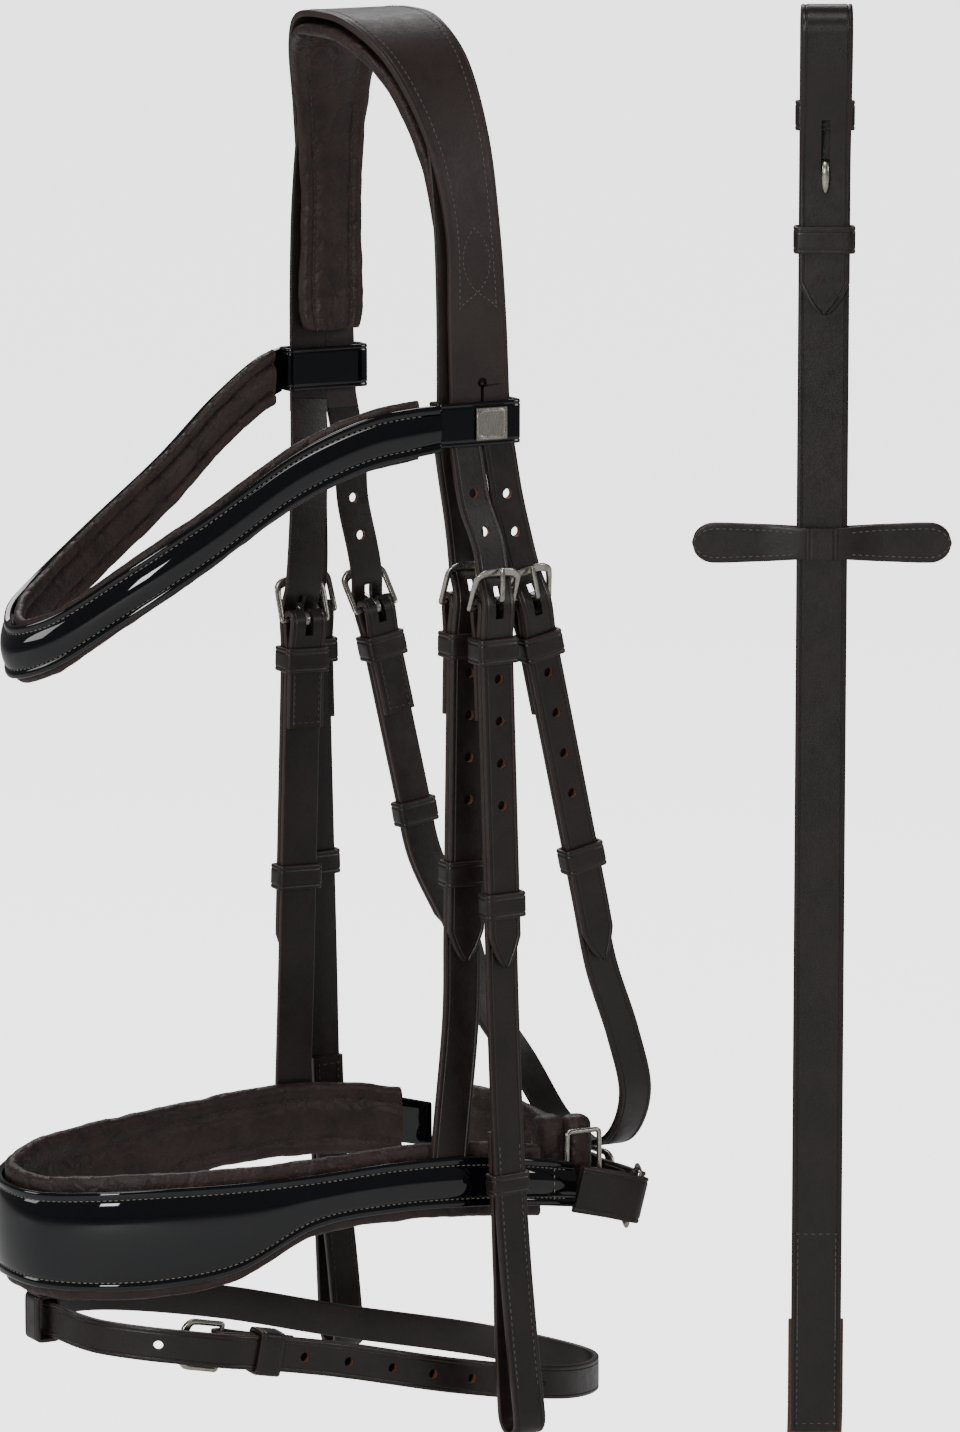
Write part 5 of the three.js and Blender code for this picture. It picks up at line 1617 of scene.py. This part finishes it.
@dataclass
class FlashStrap:
    """The flash strap: once round the mouth from its loop, and back over its own buckle."""

    line: Pairs = ((0, -147, -477), (24, -137, -479), (44, -104, -483.5), (48, -50, -494), (46, 5, -508),
                   (34, 60, -520), (0, 86, -525), (-34, 60, -520), (-46, 0, -507), (-48, -50, -494),
                   (-44, -104, -483.5), (-24, -137, -479))
    bar: float = 74.0
    reach: float = 142.0
    lift: float = BILLET_LIFT + 2.2
    holes: tuple[float, ...] = (-23, 33, 52, 71, 89, 107)
    tongue_rise: float = 1.35
    body: str = "flash"

    def build(self, shop: Workshop) -> None:
        """Makes the strap, its buckle and keeper, and the loop that hangs it from the noseband."""
        route = Route(self.line, (0, 0, 1), closed=True)
        lap, bar = route.length, self.bar
        path = [*fold_path(bar, FOLD_LENGTH - 12), [lap - 40, PLY / 2], [lap - 14, 0], [lap, 0.3], [lap + 12, 0.6],
                [lap + 30, self.lift - 1.5], [lap + bar - 24, self.lift], [lap + bar + 4, self.lift],
                [lap + bar + 14, BILLET_LIFT], [lap + bar + self.reach, BILLET_LIFT]]
        places = [(bar + hole, 6.0 if hole < 0 else BILLET_LIFT) for hole in self.holes]
        cutters = [box_draft((SLOT_WIDTH, 10.6, 10)).placed(route.frame(bar + 0.5, -0.2)),
                   *shop.pierce(self.body, route, places)]
        strap = along(route, path, CHEEK_WIDTH, pointed=True)
        shop.stand_in("flash_strap", sweep(strap, flat_section(LEATHER)), Finishes.STRAP, self.body, cutters)
        place = route.frame(bar)
        shop.stand_in("flash_buckle", frame_draft(CHEEK_WIDTH, 0).placed(place), Finishes.METAL, self.body)
        shop.stand_in("flash_tongue", tongue_draft(self.tongue_rise).placed(place), Finishes.METAL, "flash_tongue")
        keeper = keeper_draft(CHEEK_WIDTH, BACK_OF_FOLD - CLEARANCE, FRONT_OF_BILLET + CLEARANCE, 10)
        shop.stand_in("flash_keeper", keeper.placed(route.frame(bar + 18)), Finishes.STRAP, "flash_keeper")
        loop = keeper_draft(CHEEK_WIDTH + 1.4, -LEATHER / 2 - 1.6, LEATHER / 2 + 2.6, 11).placed(route.frame(0))
        tab_line = catmull_rom(np.array([(0, -155.2, -452.0), (0, -154.6, -459), (0, -152, -465), (0, -150.6, -469),
                                         (0, -150.7, -472)]), np.linspace(0, 1, 16))
        tab = Band(tab_line, np.tile((1.0, 0, 0), (16, 1)), np.full(16, 11.0))
        shop.stand_in("flash_loop", loop + sweep(tab, flat_section(1.8)), Finishes.STRAP, "nose")


@dataclass
class Rein:
    """The rein's leather end, its stop, and its webbing, rolled up and tied."""

    place: tuple[float, float] = (116, 122)
    turn: float = math.radians(62)
    top: float = 15.0
    width: float = 19.0
    loop: float = 8.0
    tip: float = 115.0
    stud: float = 58.0
    upper_keeper: float = 41.0
    lower_keeper: float = 87.0
    stop: float = 201.0
    stop_size: tuple[float, float] = (97, 15)
    end: float = 543.0
    web_start: float = 500.0
    web_width: float = 21.0
    web_thickness: float = 1.8
    roll: tuple[float, float] = (31.0, 14.0)
    roll_centre: float = 596.0
    turns: int = 6
    body: str = "rein"

    def build(self, shop: Workshop) -> None:
        """Makes the strap, its fittings, the stop and the webbing."""
        x, y = self.place
        line = straight((x, y, self.top), (x, y, self.top - self.end), 8)
        route = Route(line, (math.cos(self.turn), math.sin(self.turn), 0))
        path = [[self.end, 0], [60, 0], [22, 0]]
        for angle in np.radians(range(-75, 76, 30)):
            path.append([self.loop * (1 - math.cos(angle)), self.loop * (1 + math.sin(angle))])
        path += [[20, 14.6], [34, 10.4], [48, 5.6], [60, PLY], [self.tip, PLY]]
        slit = box_draft((SLOT_WIDTH, 20, 8)).placed(route.frame(self.stud - 6, 5.5))
        shop.stand_in("rein_strap",
                      sweep(along(route, path, self.width, pointed=True), flat_section(LEATHER, both=True)),
                      Finishes.STRAP, self.body, [slit])
        self.sewing(shop, route)
        shop.stand_in("rein_stud", self.hook().placed(route.frame(self.stud)), Finishes.METAL, self.body)
        low = -LEATHER / 2 - CLEARANCE
        single = keeper_draft(self.width, low, LEATHER / 2 + CLEARANCE, 11, 1.3)
        shop.stand_in("rein_upper_keeper", single.placed(route.frame(self.upper_keeper)), Finishes.STRAP, self.body)
        double = keeper_draft(self.width, low, PLY + LEATHER / 2 + CLEARANCE, 10)
        shop.stand_in("rein_lower_keeper", double.placed(route.frame(self.lower_keeper)), Finishes.STRAP,
                      "rein_lower_keeper")
        self.rein_stop(shop, route)
        self.webbing(shop, route)

    def sewing(self, shop: Workshop, route: Route) -> None:
        """Sews the leather end over the webbing."""
        top = self.web_start - 34
        for side in (1, -1):
            for span in ((top, self.end - 3), (self.web_start + 6, top)):
                sew_leg(shop, self.body, route, span, (side * LEATHER / 2,) * 2, self.width, side,
                        Finishes.GREY_THREAD, across=True)

    def hook(self) -> Draft:
        """The hook stud: a short post bent down into a flattened hook."""
        line = catmull_rom(np.array([(0, 0, 1.4), (0, 0.3, 3.6), (0, -0.2, 5.9), (0, -2.4, 7.0), (0, -6, 7.0),
                                     (0, -10.8, 6.3)]), np.linspace(0, 1, 36))
        widths = np.interp(np.linspace(0, 1, 36), (0, 0.3, 0.75, 0.93, 1), (2.3, 2.3, 3.0, 2.4, 1.2))
        return sweep(Band(line, np.tile((1.0, 0, 0), (36, 1)), widths), round_section(1.9, 4))

    def rein_stop(self, shop: Workshop, route: Route) -> None:
        """The stop: two layers sewn together at each end, with the rein between them and a plain middle."""
        length, height = self.stop_size
        x = np.linspace(-length / 2, length / 2, 99)
        far = np.clip(1 - np.abs(x) / (length / 2), 0, 1)
        waist = np.interp(np.abs(x), (0, 8, 20, 36, length / 2), (0.78, 0.8, 0.92, 1, 1))
        rounded = np.minimum(1, far * length / 2 / (height * 0.55))
        width = np.maximum(height * waist * np.sqrt(np.maximum(1 - (1 - rounded) ** 2, 0.002)), 0.7)
        bulge = np.clip(1.35 - np.abs(x) / 17, 0, 1)
        lift = 0.85 + 1.65 * bulge ** 2 * (3 - 2 * bulge)
        draft, place = None, route.frame(self.stop)
        for side in (1, -1):
            points = np.stack([x * side, np.zeros(99), lift * side], 1)
            layer = sweep(Band(points, np.tile((0, 1.0, 0), (99, 1)), width), flat_section(1.6, 0))
            draft = layer if draft is None else draft + layer
            rows = np.abs(x) > 11
            for end in (-1, 1):
                mine = rows & (x * end > 0) & (width > 6)
                for edge in (-1, 1):
                    seam = points[mine] + np.stack([0 * x, edge * (width / 2 - 2.1), side * (0 * x + 0.85)], 1)[mine]
                    self.sew_at(shop, place, seam, (0, 0, side))
        middle = np.linspace((0, -height * 0.39, 3.5), (0, height * 0.39, 3.5), 9)
        patch = sweep(Band(middle, np.tile((-1.0, 0, 0), (9, 1)), np.full(9, 12.0)), flat_section(1.1, 1.4, 0.2))
        shop.stand_in("rein_stop", (draft + patch).placed(place), Finishes.STRAP, "rein_stop")

    def sew_at(self, shop: Workshop, place: Array, points: Array, out: Sequence[float]) -> None:
        """Sews a row on the stop, given in its own frame."""
        turned = points @ place[:3, :3].T + place[:3, 3]
        facing = np.tile(place[:3, :3] @ np.array(out, float), (len(points), 1))
        shop.sew("rein_stop", Finishes.GREY_THREAD, turned, facing, 2.4)

    def webbing(self, shop: Workshop, route: Route) -> None:
        """The webbing behind the leather end, and the rest of it rolled up and tied."""
        outer, inner = self.roll
        thick = self.web_thickness
        behind = -(LEATHER + thick) / 2 - CLEARANCE
        reach = outer + thick / 2 + CLEARANCE
        path = [[self.web_start, behind], [self.end - 8, behind], [self.end + 3, -7.5], [self.end + 15, -15.8],
                [self.roll_centre - reach / 2, -reach * math.sin(math.pi / 3) - 0.3]]
        band = along(route, path, self.web_width)
        shop.stand_in("rein_web", sweep(band, flat_section(thick, 0)), Finishes.WEB, self.body)
        turn = np.linspace(math.radians(240), math.radians(240) + self.turns * 2 * math.pi, self.turns * 48 + 1)
        radius = np.interp(turn, (turn[0], turn[-1]), (outer - thick / 2, inner + thick / 2))
        point, across, _, _ = route.at(self.roll_centre + radius * np.cos(turn), radius * np.sin(turn))
        spiral = Band(point, across, np.full(len(point), self.web_width - 0.4))
        shop.stand_in("rein_roll", sweep(spiral, flat_section(thick + 0.5, 0)), Finishes.WEB, self.body)
        laid = np.eye(4)
        laid[:3, :3] = np.array(Matrix.Rotation(-math.pi / 2, 3, "X"))
        tie = keeper_draft(self.web_width, inner - 0.6, outer + CLEARANCE, 7, 1.2)
        shop.stand_in("rein_tie", tie.placed(route.frame(self.roll_centre) @ laid), Finishes.STRAP, self.body)


# ------------------------------------------------------------------ the studio


@dataclass
class Studio:
    """A plain pale room: floor, soft lights and the camera."""

    camera_place: tuple[float, float, float] = (2.6640, -1.3774, 0.2691)
    target: tuple[float, float, float] = (0.0554, 0.0096, -0.2519)
    lens: float = 201.1
    floor_height: float = -0.665
    floor_size: float = 40.0
    pale: Colour = (0.86, 0.86, 0.86)
    glow: float = 2.6
    surround: float = 0.16
    lit: tuple[float, float, float] = (0, 0, -0.25)
    lights: tuple = (("Front box", (2.1, -1.75, 0.35), 0.55, 26), ("Top box", (0.9, -0.9, 2.3), 1.0, 30),
                     ("Side box", (1.9, 1.7, 0.6), 0.7, 15), ("Back box", (-1.6, 0.6, 1.3), 1.0, 18),
                     ("Face box", (-0.9, -2.3, 0.5), 0.8, 12))

    def build(self) -> None:
        """Makes the floor, the world, the lights and the camera."""
        self.floor()
        self.world()
        for name, place, size, power in self.lights:
            self.light(name, place, size, power)
        self.camera()

    def floor(self) -> None:
        """The plain floor."""
        half = self.floor_size / 2
        data = bpy.data.meshes.new("floor")
        corners = [(-half, -half), (half, -half), (half, half), (-half, half)]
        data.from_pydata([(x, y, self.floor_height) for x, y in corners], [], [(0, 1, 2, 3)])
        plane = bpy.data.objects.new("floor", data)
        bpy.context.scene.collection.objects.link(plane)
        material = bpy.data.materials.new("Pale floor")
        material.use_nodes = True
        board = NodeBoard(material.node_tree)
        seen = board.add("ShaderNodeLightPath").outputs["Is Camera Ray"]
        board.feed(material.node_tree.nodes["Principled BSDF"], {
            "Base Color": (*self.pale, 1), "Roughness": 0.9, "Specular IOR Level": 0.1,
            "Emission Color": (1, 1, 1, 1), "Emission Strength": board.math("MULTIPLY", seen, self.glow)})
        data.materials.append(material)

    def world(self) -> None:
        """An even, almost white surrounding."""
        world = bpy.data.worlds.new("Pale room")
        world.use_nodes = True
        background = world.node_tree.nodes["Background"]
        background.inputs["Color"].default_value = (1, 1, 1, 1)
        background.inputs["Strength"].default_value = self.surround
        bpy.context.scene.world = world

    def aimed(self, thing: bpy.types.Object, place: Sequence[float], target: Sequence[float]) -> None:
        """Puts a light or a camera at a place, facing a target."""
        thing.location = place
        thing.rotation_euler = (Vector(target) - thing.location).to_track_quat("-Z", "Y").to_euler()
        bpy.context.scene.collection.objects.link(thing)

    def light(self, name: str, place: Sequence[float], size: float, power: float) -> None:
        """Adds a square soft light that faces the bridle."""
        data = bpy.data.lights.new(name, "AREA")
        data.size, data.energy = size, power
        self.aimed(bpy.data.objects.new(name, data), place, self.lit)

    def camera(self) -> None:
        """The camera, level with the browband and turned to the near side."""
        data = bpy.data.cameras.new("Camera")
        data.sensor_fit, data.sensor_height, data.sensor_width, data.lens = "VERTICAL", 36.0, 36.0, self.lens
        data.clip_end = 100
        camera = bpy.data.objects.new("Camera", data)
        self.aimed(camera, self.camera_place, self.target)
        bpy.context.scene.camera = camera


def main() -> None:
    """Builds the bridle piece by piece, then the room around it."""
    logging.basicConfig(level=logging.INFO, format="%(message)s")
    Studio().build()
    shop = Workshop()
    parts = [Crown(), Browband()]
    parts += [part for side in SIDES for part in (Cheek(side), Hanger(side))]
    parts += [Throatlatch(), Noseband(), CrankClosure(), ChinPad(), FlashStrap(), Rein()]
    for part in parts:
        LOG.info("%s", type(part).__name__)
        part.build(shop)
    shop.draw_seams()
    shop.line_holes()


if __name__ == "__main__":
    main()
